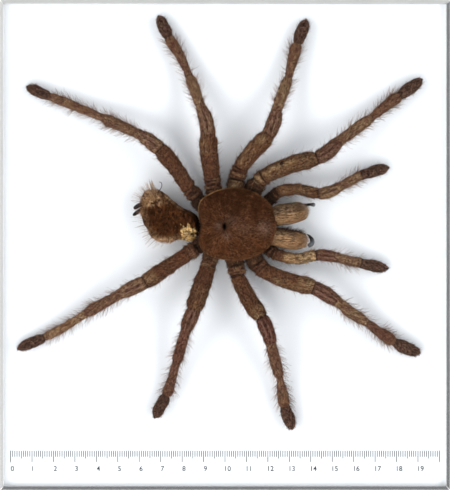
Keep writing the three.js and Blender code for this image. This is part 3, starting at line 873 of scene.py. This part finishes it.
def tan_patches(name, parts, index, share, degrees, patchy):
    """Ragged places where the coat is worn off or light."""
    sandy = dict(zip(("patella", "tibia", "metatarsus"), LIMB_LOOKS[name][-1]))
    tan = np.array([sandy.get(part, 0.0) for part in parts])[index]
    for part, low, high, middle, half, plainness in TAN_PLACES[name]:
        here = plainness * (index == parts.index(part)) * ease(low - 0.06, low + 0.06, share)
        here = here * (1 - ease(high - 0.03, high + 0.08, share))
        tan = np.maximum(tan, here * hump(degrees, middle, half))
    return tan * np.clip(1 + 1.8 * patchy, 0.2, 1.3)


def limb_skin(name):
    (_, heights), start, segments = LIMBS[name]
    tint, fold_highlight_strength, root_shade_strength, root_reach, dimness, _ = LIMB_LOOKS[name]
    parts, rows = limb_rings(name)
    index, share, width, from_near, from_far, before, after = rows[:, 1:].T[:, :, None]
    index = index.astype(int)
    centre = curve_through(limb_points(start, segments, heights), rows[:, 0])
    along, left, above = directions(centre)
    run = np.concatenate([[0], np.cumsum(np.linalg.norm(np.diff(centre, axis=0), axis=1))])[:, None]
    radius = width / 2
    angle, sin, cos = around(LIMB_SIDES)
    degrees = off_top(angle)

    def by_part(table):
        return np.array([table.get(part, 0.0) for part in parts])[index]

    combed = vectors(run, radius * sin, radius * cos)
    seed = 7.3 * (list(LIMBS).index(name) + 1)
    lumps = ripple(combed, (0.3, 0.35, 0.35), seed)
    streaks = ripple(combed, (0.45, 1.3, 1.3), seed + 50)
    rough = ripple(combed, (1.5, 2.4, 2.4), seed + 90)
    window = ease(0.02, 0.12, share) * (1 - ease(0.86, 0.97, share))
    stripes = hump(degrees, STRIPE_ANGLE, 7) + hump(degrees, -STRIPE_ANGLE, 7)
    bald = by_part(BALD) * window * stripes * np.clip(0.8 + 1.5 * lumps, 0.2, 1)
    paw, wrinkles = by_part({parts[-1]: 1.0}), by_part(WRINKLES)
    near_joint = 0.5 * hump(from_near, 0, 1.1) + 0.4 * hump(from_far, 0, 0.9)
    folded = (wrinkles + near_joint) * ripple(combed, (1.15, 0.17, 0.17), seed + 30)
    relief = 0.34 * lumps + 0.2 * streaks + (0.32 + 0.35 * paw) * rough + 0.8 * folded
    full = radius - COAT_DEPTH + relief * np.minimum(1, radius / 2) - 0.14 * bald
    full = np.maximum(full, 0.6 * radius)
    full -= 0.35 * before * hump(from_near, 0, 0.4) + 0.35 * after * hump(from_far, 0, 0.3)
    rings = tube(centre, left, above, full, sin, cos, LIMB_FLATNESS)
    rings[:, :, 2] = np.maximum(rings[:, :, 2], 0.05) + BOARD_FACE

    slit = before * hump(from_near, 0, 0.4) + after * hump(from_far, 0, 0.25)
    midline = by_part({"patella": 0.55}) * window * hump(degrees, 0, 7)
    # Painted shade in the hollows of the folds on coxa and trochanter.
    crease_shade = 0.8 * np.clip(-3.2 * folded, 0, 1) * (wrinkles > 0)
    # Painted shade on the root of the limb, where it lies under the carapace.
    root_shade = root_shade_strength * (1 - ease(0.55 * root_reach, root_reach, run))
    dim = dimness * by_part({"femur": 1.0, "patella": 0.7})
    if name in DARK_DOTS:
        part, dot_at, dot_angle = DARK_DOTS[name]
        dot = hump(from_near, dot_at * (from_near + from_far), 0.75) * hump(degrees, dot_angle, 13)
        dim = dim + dot * by_part({part: 1.6})
    # Near-black zone: dark joints, the patella's midline and dimness are the limb's own colour; the crease and
    # root parts are painted shade.
    joint_dark_and_shade = np.clip(slit + midline + crease_shade + root_shade + dim, 0, 1)
    # Painted highlight on the crests of the trochanter's folds, carried in the tan.
    fold_highlight = fold_highlight_strength * np.clip(3.5 * folded - 0.25, 0, 1) * (wrinkles > 0.5)
    tan = tan_patches(name, parts, index, share, degrees, ripple(combed, (0.4, 0.7, 0.7), seed + 9))
    tan = np.clip(tan + fold_highlight, 0, 1) * (1 - joint_dark_and_shade)
    clumps = np.clip(0.85 + 1.6 * ripple(combed, (0.7, 1.1, 1.1), seed + 70), 0.15, 1.6)
    hairy = (1 - 0.9 * slit) * np.where(cos < -0.6, 0.35, 1.0) * clumps
    # Denser dark tufts on coxa and trochanter: partly their own dark hair, partly a dark fill for the shade
    # between the coxae.
    coxal = by_part({"coxa": 4.0, "trochanter": 1.0})
    return ringed_mesh(f"{name}_skin", rings, {
        "combed": combed, "toward_tip": along[:, None, :], "zones": vectors(joint_dark_and_shade, bald, paw), "tan": tan,
        "tint": np.clip(tint * (1 - 0.7 * by_part(REDNESS)), 0, 1), "red": by_part(REDNESS),
        "velvet": hairy * (1 - 0.75 * bald) * (1 - 0.4 * tan),
        "bristle": hairy * by_part(BRISTLES) * (0.1 + 0.9 * np.abs(sin) ** 1.5),
        "tuft": hairy * (0.25 + 0.75 * np.abs(sin)) * (1 - 0.6 * bald) * (1 + coxal),
    })


print("limb maker ready")


# %% Brown velvet, for skin and for hair
def limb_colour(nodes, brightness):
    """The colour of a limb from what is stored on its points, and its streaks."""
    joint_dark_and_shade, bald, paw = nodes.zones()
    warm, streak = coat(
        nodes, brightness, (0.024, 0.008, 0.004), (0.25, 0.106, 0.056), (0.13, 0.044, 0.02), 2.1, 9.0, 2.1, 0.8)
    sandy, _ = coat(
        nodes, brightness, (0.032, 0.014, 0.006), (0.3, 0.148, 0.072), (0.165, 0.067, 0.029), 2.1, 9.0, 2.1, 0.8)
    reddish, _ = coat(
        nodes, brightness, (0.028, 0.009, 0.006), (0.3, 0.122, 0.088), (0.13, 0.04, 0.027), 1.7, 9.0, 2.1, 0.8)
    worn, _ = coat(
        nodes, brightness, (0.12, 0.06, 0.026), (0.85, 0.58, 0.31), (0.56, 0.33, 0.15), 1.9, 9.0, 1.8, 0.6)
    padded, _ = coat(
        nodes, brightness, (0.015, 0.008, 0.006), (0.26, 0.145, 0.105), (0.1, 0.05, 0.036), 1.9, 9.0, 2.4, 0.9)
    colour = nodes.mix(nodes.stored("tint"), warm, sandy)
    colour = nodes.over(nodes.stored("red"), 0.8, colour, reddish)
    colour = nodes.over(bald, 0.6, colour, lit(brightness, (0.36, 0.19, 0.14)))
    colour = nodes.over(nodes.stored("tan"), 0.85, colour, worn)
    colour = nodes.over(paw, 0.8, colour, padded)
    # Near-black over the dark joints, and painted shade in the fold creases and at the roots.
    return nodes.over(joint_dark_and_shade, 0.85, colour, (0.008, 0.004, 0.002, 1)), streak


LIMB_SKIN, LIMB_HAIR = skin_and_hair(
    limb_colour, ("brown velvet skin", 0.8, 0.1, 0.7), (0.18, 0.8),
    ("brown velvet hair", 0.6, 0.12, 1.45), (0.3, 0.28, 0.28), (1.9, 1.8, 1.7))
for order, name in enumerate(LIMBS):
    skin_mesh = limb_skin(name)
    finish_piece(f"{name}_skin", skin_mesh, [LIMB_SKIN], [name])
    add_coat(f"{name}_hair", skin_mesh, [
        ("limb velvet", "velvet", LIMB_HAIR, 10 + order), ("limb tuft", "tuft", DARK_TUFT, 30 + order),
        ("limb bristle", "bristle", BRISTLE, 50 + order)])

# %% [markdown]
# ## Cephalothorax
# The shield over the front body is a low dome with a deep pit where the stomach muscle holds on.
# Grooves run out from the pit between the muscles, and the short down follows them. So its mesh
# is a fan of rings round the pit, which puts the finest faces where the finest folds are.

# %% Dome, grooves, pit and eye mound
PIT = (-0.2, 8.6)
CARAPACE_REACH = [
    24.0, 23.7, 21.3, 19.1, 17.5, 16.6, 16.1, 13.0, 11.3, 13.1, 14.9, 15.0, 15.4, 16.9, 19.7, 22.8,
]
CARAPACE_SIDES = 220
MARGIN_UNDERSIDE, MARGIN_TOP, DOME_RISE = 10.2, 11.2, 6.6
PIT_DEPTH, PIT_RADIUS = 2.8, 1.15
GROOVES = {33: 0.45, 62: 0.22, 90: 0.26, 118: 0.26, 148: 0.26}  # bearing from the midline: depth
STERNUM_CENTRE, STERNUM_HALF, STERNUM_BOTTOM = (5.4, 9.5), (12.5, 9.2), 0.5
EYES_AHEAD, EYES_RISE = 19.2, 1.2
# Grey patches, partly rubbed hair and partly painted sheen: ahead of the pit, to its left, size and plainness.
GREY_WEAR_AND_SHEEN = [(18.4, -0.7, 3.2, 0.5), (-2.8, 0.0, 1.7, 0.45), (1.0, -4.5, 2.0, 0.35), (3.0, 2.5, 3.0, 0.25),
                (9.0, -1.0, 3.5, 0.2)]


def carapace_height(share, turn, ahead, across):
    dome = DOME_RISE * (1 - share**2.4) ** 0.7
    pit = PIT_DEPTH * hump(ahead, 0, 0.75 * PIT_RADIUS) * hump(across, 0, 1.3 * PIT_RADIUS)
    bearing = np.abs((turn + 0.5) % 1 - 0.5) * 360
    groove = sum(depth * hump(bearing, way, 4.5) for way, depth in GROOVES.items())
    groove = groove * ease(0.04, 0.2, share) * (1 - ease(0.75, 0.97, share))
    mound = EYES_RISE * hump(ahead, EYES_AHEAD, 1.7) * hump(across, 0, 2.3)
    return MARGIN_TOP + dome - pit - groove + mound


def carapace_skin():
    angle, sin, cos = around(CARAPACE_SIDES)
    turn = angle / (2 * np.pi)
    reach = reach_at(CARAPACE_REACH, turn)
    rows, marks = [], []
    for share, height in ((0.4, STERNUM_BOTTOM), (0.8, STERNUM_BOTTOM), (1.0, 2.5), (1.0, MARGIN_UNDERSIDE)):
        x = STERNUM_CENTRE[0] + share * STERNUM_HALF[0] * cos
        rows.append(vectors(x, STERNUM_CENTRE[1] + share * STERNUM_HALF[1] * sin, height))
        marks.append(0.0)
    rim = [(0.97, MARGIN_UNDERSIDE), (1.0, MARGIN_UNDERSIDE + 0.3), (1.005, 10.8)]
    shares = [0.998, *(1 - np.linspace(0, 1, 66)[1:] ** 1.15 * 0.985), 0.008]
    for share, height in rim + [(share, None) for share in shares]:
        ahead, across = share * reach * cos, share * reach * sin
        height = carapace_height(share, turn, ahead, across) if height is None else height
        rows.append(vectors(PIT[0] + ahead, PIT[1] + across, height))
        marks.append(share)
    rings, marks = np.array(rows), np.array(marks)[:, None]
    top = (np.arange(len(rings)) >= 7)[:, None]
    ahead, across = rings[:, :, 0] - PIT[0], rings[:, :, 1] - PIT[1]
    radial = np.hypot(ahead, across)
    rayed = vectors(radial, 13 * sin, 13 * cos)
    fine = ripple(rayed, (0.25, 0.9, 0.9), 3.0) * 0.3 + ripple(rings, 0.45, 8.0) * 0.6
    blotch = ripple(rings, (0.24, 0.24, 0), 5.0) + 0.7 * ripple(rings, (0.6, 0.6, 0), 15.0)
    rings[:, :, 2] += np.where(top, fine * np.clip(radial / 4, 0, 1), 0) + BOARD_FACE
    bearing = np.degrees(angle)
    plain_rim = 0.2 + 0.8 * ease(75, 105, bearing) * (1 - ease(160, 180, bearing))
    plain_rim = plain_rim * np.clip(1 + 2.0 * ripple(rings, 0.35, 44.0), 0.1, 1.3)
    edge = ease(0.965, 0.99, marks) * plain_rim * top
    grey_wear_and_sheen = sum(much * hump(ahead, x, size) * hump(across, y, size) for x, y, size, much in GREY_WEAR_AND_SHEEN)
    rusty = np.clip(0.3 + 0.7 * ease(-4, 10, ahead - across) + 0.9 * blotch, 0, 1)
    dark = ease(0, 14, ahead + across) * 0.6 * ease(-2, 7, across + 4 * blotch)
    dark = dark + 0.4 * hump(ahead, 1.5, 4) * ease(3, 9, across) + 0.3 * hump(ahead, -8, 3)
    dark = np.clip(dark - 0.7 * blotch - 0.25 * hump(ahead, 0.5, 0.7) * ease(3, 6, across), 0, 0.8)
    # Near-black painted shade along the rear edge and in the pit.
    rear_shade = hump(bearing, 180, 38) * ease(0.88, 0.985, marks)
    pit_and_rear_shade = np.exp(-(((ahead / 0.95) ** 2 + (across / 1.6) ** 2) ** 2)) + 0.9 * rear_shade
    pit_and_rear_shade = np.clip(pit_and_rear_shade, 0, 1)
    combed = vectors(ahead * 1.2, 0.8 * across, rings[:, :, 2] - BOARD_FACE) + 0.6 * rayed * (0.6, 1, 1)
    return ringed_mesh("carapace_skin", rings, {
        "combed": combed, "toward_tip": vectors(cos, sin, 0 * radial), "zones": vectors(pit_and_rear_shade, edge, grey_wear_and_sheen),
        "tint": rusty, "tan": dark, "velvet": top * (1 - pit_and_rear_shade) * (1 - 0.6 * grey_wear_and_sheen),
    })


def carapace_colour(nodes, brightness):
    pit_and_rear_shade, edge, grey_wear_and_sheen = nodes.zones()
    plain, streak = coat(
        nodes, brightness, (0.02, 0.006, 0.002), (0.105, 0.04, 0.015), (0.062, 0.021, 0.006), 1.4, 5.0, 1.7, 0.4)
    rusty, _ = coat(
        nodes, brightness, (0.03, 0.01, 0.003), (0.125, 0.05, 0.021), (0.085, 0.027, 0.009), 1.4, 5.0, 1.7, 0.4)
    colour = nodes.mix(nodes.stored("tint"), plain, rusty)
    colour = nodes.mix(nodes.stored("tan"), colour, lit(brightness, (0.028, 0.0085, 0.002)))
    # Grey over the streaks: partly rubbed hair, partly painted sheen.
    colour = nodes.over(grey_wear_and_sheen, nodes.eased(streak, 0.2, 0.9, 0.2, 0.9), colour, lit(brightness, (0.2, 0.14, 0.11)))
    colour = nodes.over(edge, 0.8, colour, lit(brightness, (0.3, 0.16, 0.065)))
    # Near-black painted shade in the pit and along the rear edge.
    return nodes.over(pit_and_rear_shade, 0.97, colour, (0.004, 0.002, 0.001, 1)), streak


CARAPACE_SKIN, CARAPACE_HAIR = skin_and_hair(
    carapace_colour, ("carapace shell", 0.75, 0.06, 1.1), (0.2, 0.8),
    ("carapace down", 0.65, 0.06, 1.45), (0.6, 0.55, 0.5), (1.6, 1.5, 1.4))
carapace_mesh = carapace_skin()
finish_piece("carapace_skin", carapace_mesh, [CARAPACE_SKIN], ["cephalothorax"])
add_coat("carapace_hair", carapace_mesh, [("carapace down", "velvet", CARAPACE_HAIR, 71)])

# %% [markdown]
# ## Abdomen
# The abdomen dried into a wrinkled bag. It has fur where the skin kept it, along the rear left and
# the lower rim, and bare dark creases in the middle. At the front right corner the skin tore and
# shows pale fibres.

# %% Wrinkled bag
ABDOMEN_CENTRE = (-25.2, 13.5)
ABDOMEN_REACH = [
    11.9, 7.8, 6.2, 6.4, 7.9, 12.4, 16.0, 15.2, 13.5, 12.6, 12.9, 13.0, 12.1, 11.9, 15.6, 14.7,
]
# Share of the reach and height, from the middle of the underside to the middle of the top.
ABDOMEN_PROFILE = [
    (0, 0.5), (0.62, 0.5), (0.9, 2.0), (1, 4.8), (0.96, 7.4), (0.84, 9.5), (0.62, 11.0), (0.34, 11.4), (0, 10.8),
]
ABDOMEN_SIDES, ABDOMEN_RINGS = 200, 74


def abdomen_skin():
    angle, sin, cos = around(ABDOMEN_SIDES)
    reach = reach_at(ABDOMEN_REACH, angle / (2 * np.pi))
    profile = [(share, height, 0) for share, height in ABDOMEN_PROFILE]
    steps = curve_through(profile, np.linspace(0.15, len(profile) - 1.04, ABDOMEN_RINGS))
    share, height = steps[:, :1], steps[:, 1:2]
    ahead, across = share * reach * cos, share * reach * sin
    rings = vectors(ABDOMEN_CENTRE[0] + ahead, ABDOMEN_CENTRE[1] + across, height)
    above = ease(4.0, 7.5, height)
    turned = vectors(ahead * 0.18 + across * 0.1, across * 0.55 - ahead * 0.2, height)
    creases = 0.3 - 2.0 * np.abs(ripple(turned, 0.55, 4.0))
    small = ripple(rings, 0.8, 11.0) * 0.8 + ripple(rings, 1.9, 2.0) * 0.35
    rings[:, :, 2] += (creases + small) * above
    wobble = 1 + 0.05 * ripple(rings, 0.3, 21.0) + 0.03 * ripple(rings, 0.9, 31.0)
    rings[:, :, 0] = ABDOMEN_CENTRE[0] + ahead * wobble
    rings[:, :, 1] = ABDOMEN_CENTRE[1] + across * wobble
    rings[:, :, 2] += BOARD_FACE
    outward = vectors(ahead - 12, 1.3 * across, -0.5)
    outward /= np.linalg.norm(outward, axis=2)[:, :, None]
    outer = ease(0.72, 0.93, share)
    blotch = ripple(rings, (0.3, 0.3, 0), 25.0) + 0.6 * ripple(rings, (0.9, 0.9, 0), 35.0)
    lobe = ease(4.6, 7.6, across - 0.08 * ahead + 5 * blotch) * ease(0.3, 0.6, share)
    lobe = lobe * (1 - 0.8 * ease(-7, -2.5, ahead))
    lobe = np.maximum(lobe, 0.45 * outer * ease(8, 10, -ahead) * ease(-6, 0, across))
    low_rim = outer * ease(4, 9, -across) * ease(-9, 2, -ahead)
    top_rim = 0.6 * outer * ease(0, 5, across) * ease(-7, -2, ahead)
    ragged = 3.5 * ripple(rings, (0.5, 0.5, 0), 55.0) + 2.0 * ripple(rings, (1.3, 1.3, 0), 65.0)
    torn = ease(0, 1.0, ahead - 4.6 + ragged) * ease(0, 1.0, -across - 5.0 + ragged)
    torn = torn * (1 - ease(11.4, 12.4, ahead + ragged)) * np.clip(1.1 + 1.5 * blotch, 0.5, 1)
    furry = np.clip((lobe + low_rim + top_rim) * np.clip(1 + 1.8 * blotch, 0.2, 1.2), 0, 1) * (1 - torn)
    # Painted shade on the front slope, which falls away under the carapace.
    front_shade = ease(11.2, 12.6, ahead) * (1 - torn)
    tuft = hump(ahead, -8.5, 3.0) * hump(across, 11.5, 2.5)
    outward = outward * (1 - tuft[:, :, None]) + np.array([-0.25, 1.0, 0.25]) * tuft[:, :, None]
    return ringed_mesh("abdomen_skin", rings, {
        "combed": vectors(across, ahead, rings[:, :, 2] - BOARD_FACE), "toward_tip": outward,
        "zones": vectors(furry, torn, front_shade),
        # Rust from random blotches, raised towards the front, 5 to 9 mm ahead, as painted light where the slope
        # turns into shade.
        "tint": np.clip(0.4 + 2 * blotch + 0.8 * ease(5, 9, ahead), 0, 1),
        "velvet": above * (0.55 + 0.7 * furry) * (1 - 0.75 * torn) * (1 - front_shade),
        "bristle": outer * ease(2, 9, -ahead - 0.3 * across) * above, "tuft": tuft * above,
    })


def abdomen_colour(nodes, brightness):
    furry, torn, front_shade = nodes.zones()
    bare, streak = coat(
        nodes, brightness, (0.012, 0.004, 0.001), (0.07, 0.024, 0.007), (0.03, 0.009, 0.002), 0.8, 6.0, 1.3, 0.3)
    rust, _ = coat(
        nodes, brightness, (0.025, 0.008, 0.002), (0.11, 0.038, 0.012), (0.06, 0.019, 0.005), 0.8, 6.0, 1.3, 0.3)
    fur, _ = coat(
        nodes, brightness, (0.06, 0.028, 0.013), (0.62, 0.4, 0.22), (0.32, 0.175, 0.08), 1.3, 5.0, 2.0, 0.5)
    fibres, _ = coat(
        nodes, brightness, (0.14, 0.065, 0.018), (1.0, 0.7, 0.32), (0.8, 0.47, 0.17), 1.6, 3.0, 2.0, 0.7)
    colour = nodes.over(nodes.stored("tint"), 0.6, bare, rust)
    colour = nodes.mix(torn, nodes.over(furry, 0.85, colour, fur), fibres)
    # Near-black painted shade at the front.
    return nodes.over(front_shade, 0.85, colour, (0.006, 0.003, 0.002, 1)), streak


ABDOMEN_SKIN, ABDOMEN_HAIR = skin_and_hair(
    abdomen_colour, ("abdomen skin", 0.8, 0.06, 1.1), (0.25, 0.9),
    ("abdomen fur", 0.65, 0.08, 1.4), (0.55, 0.5, 0.5), (1.6, 1.5, 1.4))
abdomen_mesh = abdomen_skin()
finish_piece("abdomen_skin", abdomen_mesh, [ABDOMEN_SKIN], ["abdomen"])
add_coat("abdomen_hair", abdomen_mesh, [
    ("abdomen fur", "velvet", ABDOMEN_HAIR, 81), ("abdomen long", "bristle", BRISTLE, 82),
    ("abdomen tuft", "tuft", TAN_FUR, 83)])

# %% [markdown]
# ## Jaws, fangs and spinnerets
# A chelicera is a stout horn block with hair combed forward in stripes. The fang is bare horn,
# black and glossy. All of these are bodies round a short bent axis, made from rings as a limb is.

# %% Short bodies round a bent axis: points on it and the width at each
CHELICERAE = {
    "chelicera_left": [
        ((20.6, 13.2, 7.4), 7.8), ((24, 13.7, 7.6), 9.1), ((30.2, 14.6, 7.4), 9.8), ((35.0, 15.6, 6.8), 8.3),
        ((38.4, 17.0, 6.2), 3.8)],
    "chelicera_right": [
        ((20.6, 4.1, 7.4), 7.4), ((24, 3.6, 7.6), 8.1), ((30.2, 2.5, 7.4), 8.6), ((35.0, 2.1, 6.8), 7.4),
        ((38.2, 1.8, 6.2), 4.4)],
}
# Slot, where along it a painted grey highlight lies, over what share of it, how much, and its axis.
RODS = {
    "fang_left": ("fang", 1.0, 0.2, 0.95, [
        ((37.0, 18.3, 6.0), 1.6), ((39.4, 18.8, 5.6), 1.4), ((42.0, 18.6, 5.2), 2.2)]),
    "fang_right": ("fang", 0.12, 0.3, 0.42, [
        ((38.6, -0.6, 6.0), 2.0), ((40.3, 0.7, 5.6), 2.1), ((40.5, 2.1, 5.0), 2.0), ((39.5, 3.8, 4.4), 1.3),
        ((38.1, 5.2, 3.8), 0.4)]),
    "spinneret_upper": ("spinneret", 0.0, 0.3, 0.0, [
        ((-37.5, 18.9, 6.0), 2.2), ((-40.0, 18.3, 5.6), 2.2), ((-42.4, 16.8, 5.0), 1.8)]),
    "spinneret_lower": ("spinneret", 0.0, 0.3, 0.0, [
        ((-38.0, 16.9, 5.0), 1.9), ((-40.4, 15.5, 4.6), 1.9), ((-42.8, 13.7, 4.2), 1.5)]),
}
# One loose hair that curls up at the abdomen's rear.
CURL = [((-31.2, 24.4, 9.0), 0.34), ((-29.8, 26.0, 9.6), 0.34), ((-29.2, 27.6, 9.8), 0.3),
        ((-29.6, 28.9, 9.6), 0.26), ((-30.6, 29.2, 9.2), 0.2)]


def rod_rings(rows, count, sides, tallness=1.0, blunt=0.12):
    """Rings round the path, rounded off over its last share, and what finishes need to know."""
    last = len(rows) - 1
    places = (1 - np.cos(np.linspace(0, np.pi, count))) / 2 * last
    centre = curve_through([point for point, _ in rows], places)
    widths = curve_through([(width, 9 * order, 0) for order, (_, width) in enumerate(rows)], places)[:, :1]
    along, left, above = directions(centre)
    share = places[:, None] / last
    ends = np.clip(1 - np.clip((share - 1 + blunt) / blunt, 0, 1) ** 2, 0.01, 1) ** 0.5
    ends *= np.clip(1 - np.clip((0.04 - share) / 0.04, 0, 1) ** 2, 0.01, 1) ** 0.5
    radius = np.maximum(widths / 2 * ends, 0.03)
    angle, sin, cos = around(sides)
    rings = tube(centre, left, above, radius, sin, cos, tallness)
    rings[:, :, 2] += BOARD_FACE
    run = share * np.linalg.norm(np.diff(centre, axis=0), axis=1).sum()
    return rings, vectors(run, radius * sin, radius * cos), along, share, angle


def jaw_skin(name, rows):
    rings, combed, along, share, angle = rod_rings(rows, 90, 80, 1.05, 0.1)
    is_left = name.endswith("left")
    seed = 5.0 if is_left else 15.0
    relief = 0.5 * ripple(combed, (0.1, 0.9, 0.9), seed) + 0.3 * ripple(combed, (0.2, 2.4, 2.4), seed)
    outward = rings - rings.mean(1, keepdims=True)
    outward /= np.maximum(np.linalg.norm(outward, axis=2, keepdims=True), 1e-6)
    rings = rings + outward * (relief * np.clip(combed[:, :, 0], 0, 1))[:, :, None]
    degrees = off_top(angle)
    # Painted shade: the side away from the near lamp, and the underside on the other side, take the darker coat;
    # noise breaks it up.
    shaded_upper_half = ease(-20, 15, degrees) if is_left else 0.8 * ease(5, 60, degrees)
    shaded_flank = np.clip(shaded_upper_half + ease(60, 90, -degrees), 0, 1)
    shaded_flank = np.clip(shaded_flank + 1.1 * ripple(combed, (0.12, 0.7, 0.7), seed + 40), 0, 1)
    worn = ease(0.72, 0.95, share)
    # Painted shade at the root, where the jaw goes in under the carapace; on the left jaw it is also dark over
    # the upper side of the tip.
    root = 1 - ease(0.02, 0.26, share)
    if is_left:
        root = np.maximum(root, ease(0.78, 0.98, share) * ease(20, 60, degrees))
    fringe = 0.2 * hump(degrees, 80, 15) if is_left else hump(degrees, 76, 30)
    return ringed_mesh(f"{name}_skin", rings, {
        "combed": combed, "toward_tip": along[:, None, :], "zones": vectors(shaded_flank, worn, root),
        "velvet": (1 - 0.3 * worn) * np.where(np.cos(angle) < -0.5, 0.3, 1.0), "bristle": fringe * (1 - worn),
    })


def jaw_colour(nodes, brightness):
    shaded_flank, worn, root = nodes.zones()
    top, streak = coat(
        nodes, brightness, (0.075, 0.038, 0.018), (0.4, 0.235, 0.12), (0.25, 0.128, 0.056), 1.7, 7.0, 1.7, 0.5)
    under, _ = coat(
        nodes, brightness, (0.025, 0.014, 0.008), (0.18, 0.112, 0.062), (0.095, 0.056, 0.03), 1.7, 7.0, 1.9, 0.7)
    # The darker coat on the shaded flank is painted shade.
    colour = nodes.over(shaded_flank, 0.85, top, under)
    colour = nodes.over(worn, 0.3, colour, lit(brightness, (0.45, 0.35, 0.28)))
    # Near-black at the root is painted shade.
    return nodes.over(root, 0.8, colour, lit(brightness, (0.03, 0.014, 0.008))), streak


def horn(name, dark, pale, roughness, specular):
    material, nodes, shader = new_material(name, roughness, specular)
    cloud = nodes.cloud(nodes.place(), 900.0, 3.0)
    fresh = nodes.mix(nodes.eased(cloud, 0.4, 0.7), dark, pale)
    # The stored value named worn mixes in a painted grey highlight, the glint on a fang.
    nodes.feed(shader["Base Color"], nodes.mix(nodes.stored("worn"), fresh, (0.27, 0.29, 0.3, 1)))
    nodes.feed(shader["Roughness"], nodes.eased(cloud, 0.3, 0.7, roughness * 0.8, roughness * 1.3))
    nodes.bump(shader, cloud, 0.03, 0.4)
    return material


JAW_SKIN, JAW_HAIR = skin_and_hair(
    jaw_colour, ("jaw horn", 0.7, 0.12, 1.12), (0.22, 0.8),
    ("jaw hair", 0.55, 0.15, 1.38), (0.6, 0.55, 0.5), (1.5, 1.45, 1.4))
for order, (name, rows) in enumerate(CHELICERAE.items()):
    jaw_mesh = jaw_skin(name, rows)
    finish_piece(f"{name}_skin", jaw_mesh, [JAW_SKIN], [name])
    add_coat(f"{name}_hair", jaw_mesh, [
        ("jaw combed", "velvet", JAW_HAIR, 91 + order), ("jaw fringe", "bristle", DARK_TUFT, 95 + order)])

HORNS = {
    "fang": horn("black fang horn", (0.006, 0.005, 0.005, 1), (0.03, 0.02, 0.016, 1), 0.25, 0.35),
    "spinneret": horn("dark spinneret skin", (0.01, 0.006, 0.005, 1), (0.07, 0.035, 0.022, 1), 0.6, 0.15),
}
for name, (slot, highlight_at, highlight_share, much, rows) in RODS.items():
    rings, _, _, share, _ = rod_rings(rows, 36, 24, blunt=0.2)
    # The stored value named worn is the painted highlight.
    rod_mesh = ringed_mesh(f"{name}_horn", rings, {"worn": much * hump(share, highlight_at, highlight_share)})
    finish_piece(f"{name}_horn", rod_mesh, [HORNS[slot]], [name])
curl_mesh = ringed_mesh("curled_hair", rod_rings(CURL, 30, 8)[0])
finish_piece("curled_hair", curl_mesh, [HORNS["fang"]])
print("jaws, fangs and spinnerets made")

# %% [markdown]
# ## Floor
# A plain pale floor takes the frame's own shadow in the side views.

# %% Floor
FLOOR_HALF, FLOOR_DROP = 2.0, 0.0002
floor_mesh = bpy.data.meshes.new("floor")
corners = [(x * FLOOR_HALF, y * FLOOR_HALF, -FLOOR_DROP) for x, y in ((-1, -1), (1, -1), (1, 1), (-1, 1))]
floor_mesh.from_pydata(corners, [], [(0, 1, 2, 3)])
floor = placed("floor", floor_mesh)
floor_paint, _, floor_shader = new_material("pale floor", 0.8, 0.2)
floor_shader["Base Color"].default_value = (0.78, 0.78, 0.77, 1)
floor_mesh.materials.append(floor_paint)
print(f"hair in all: {hair_total} triangles")
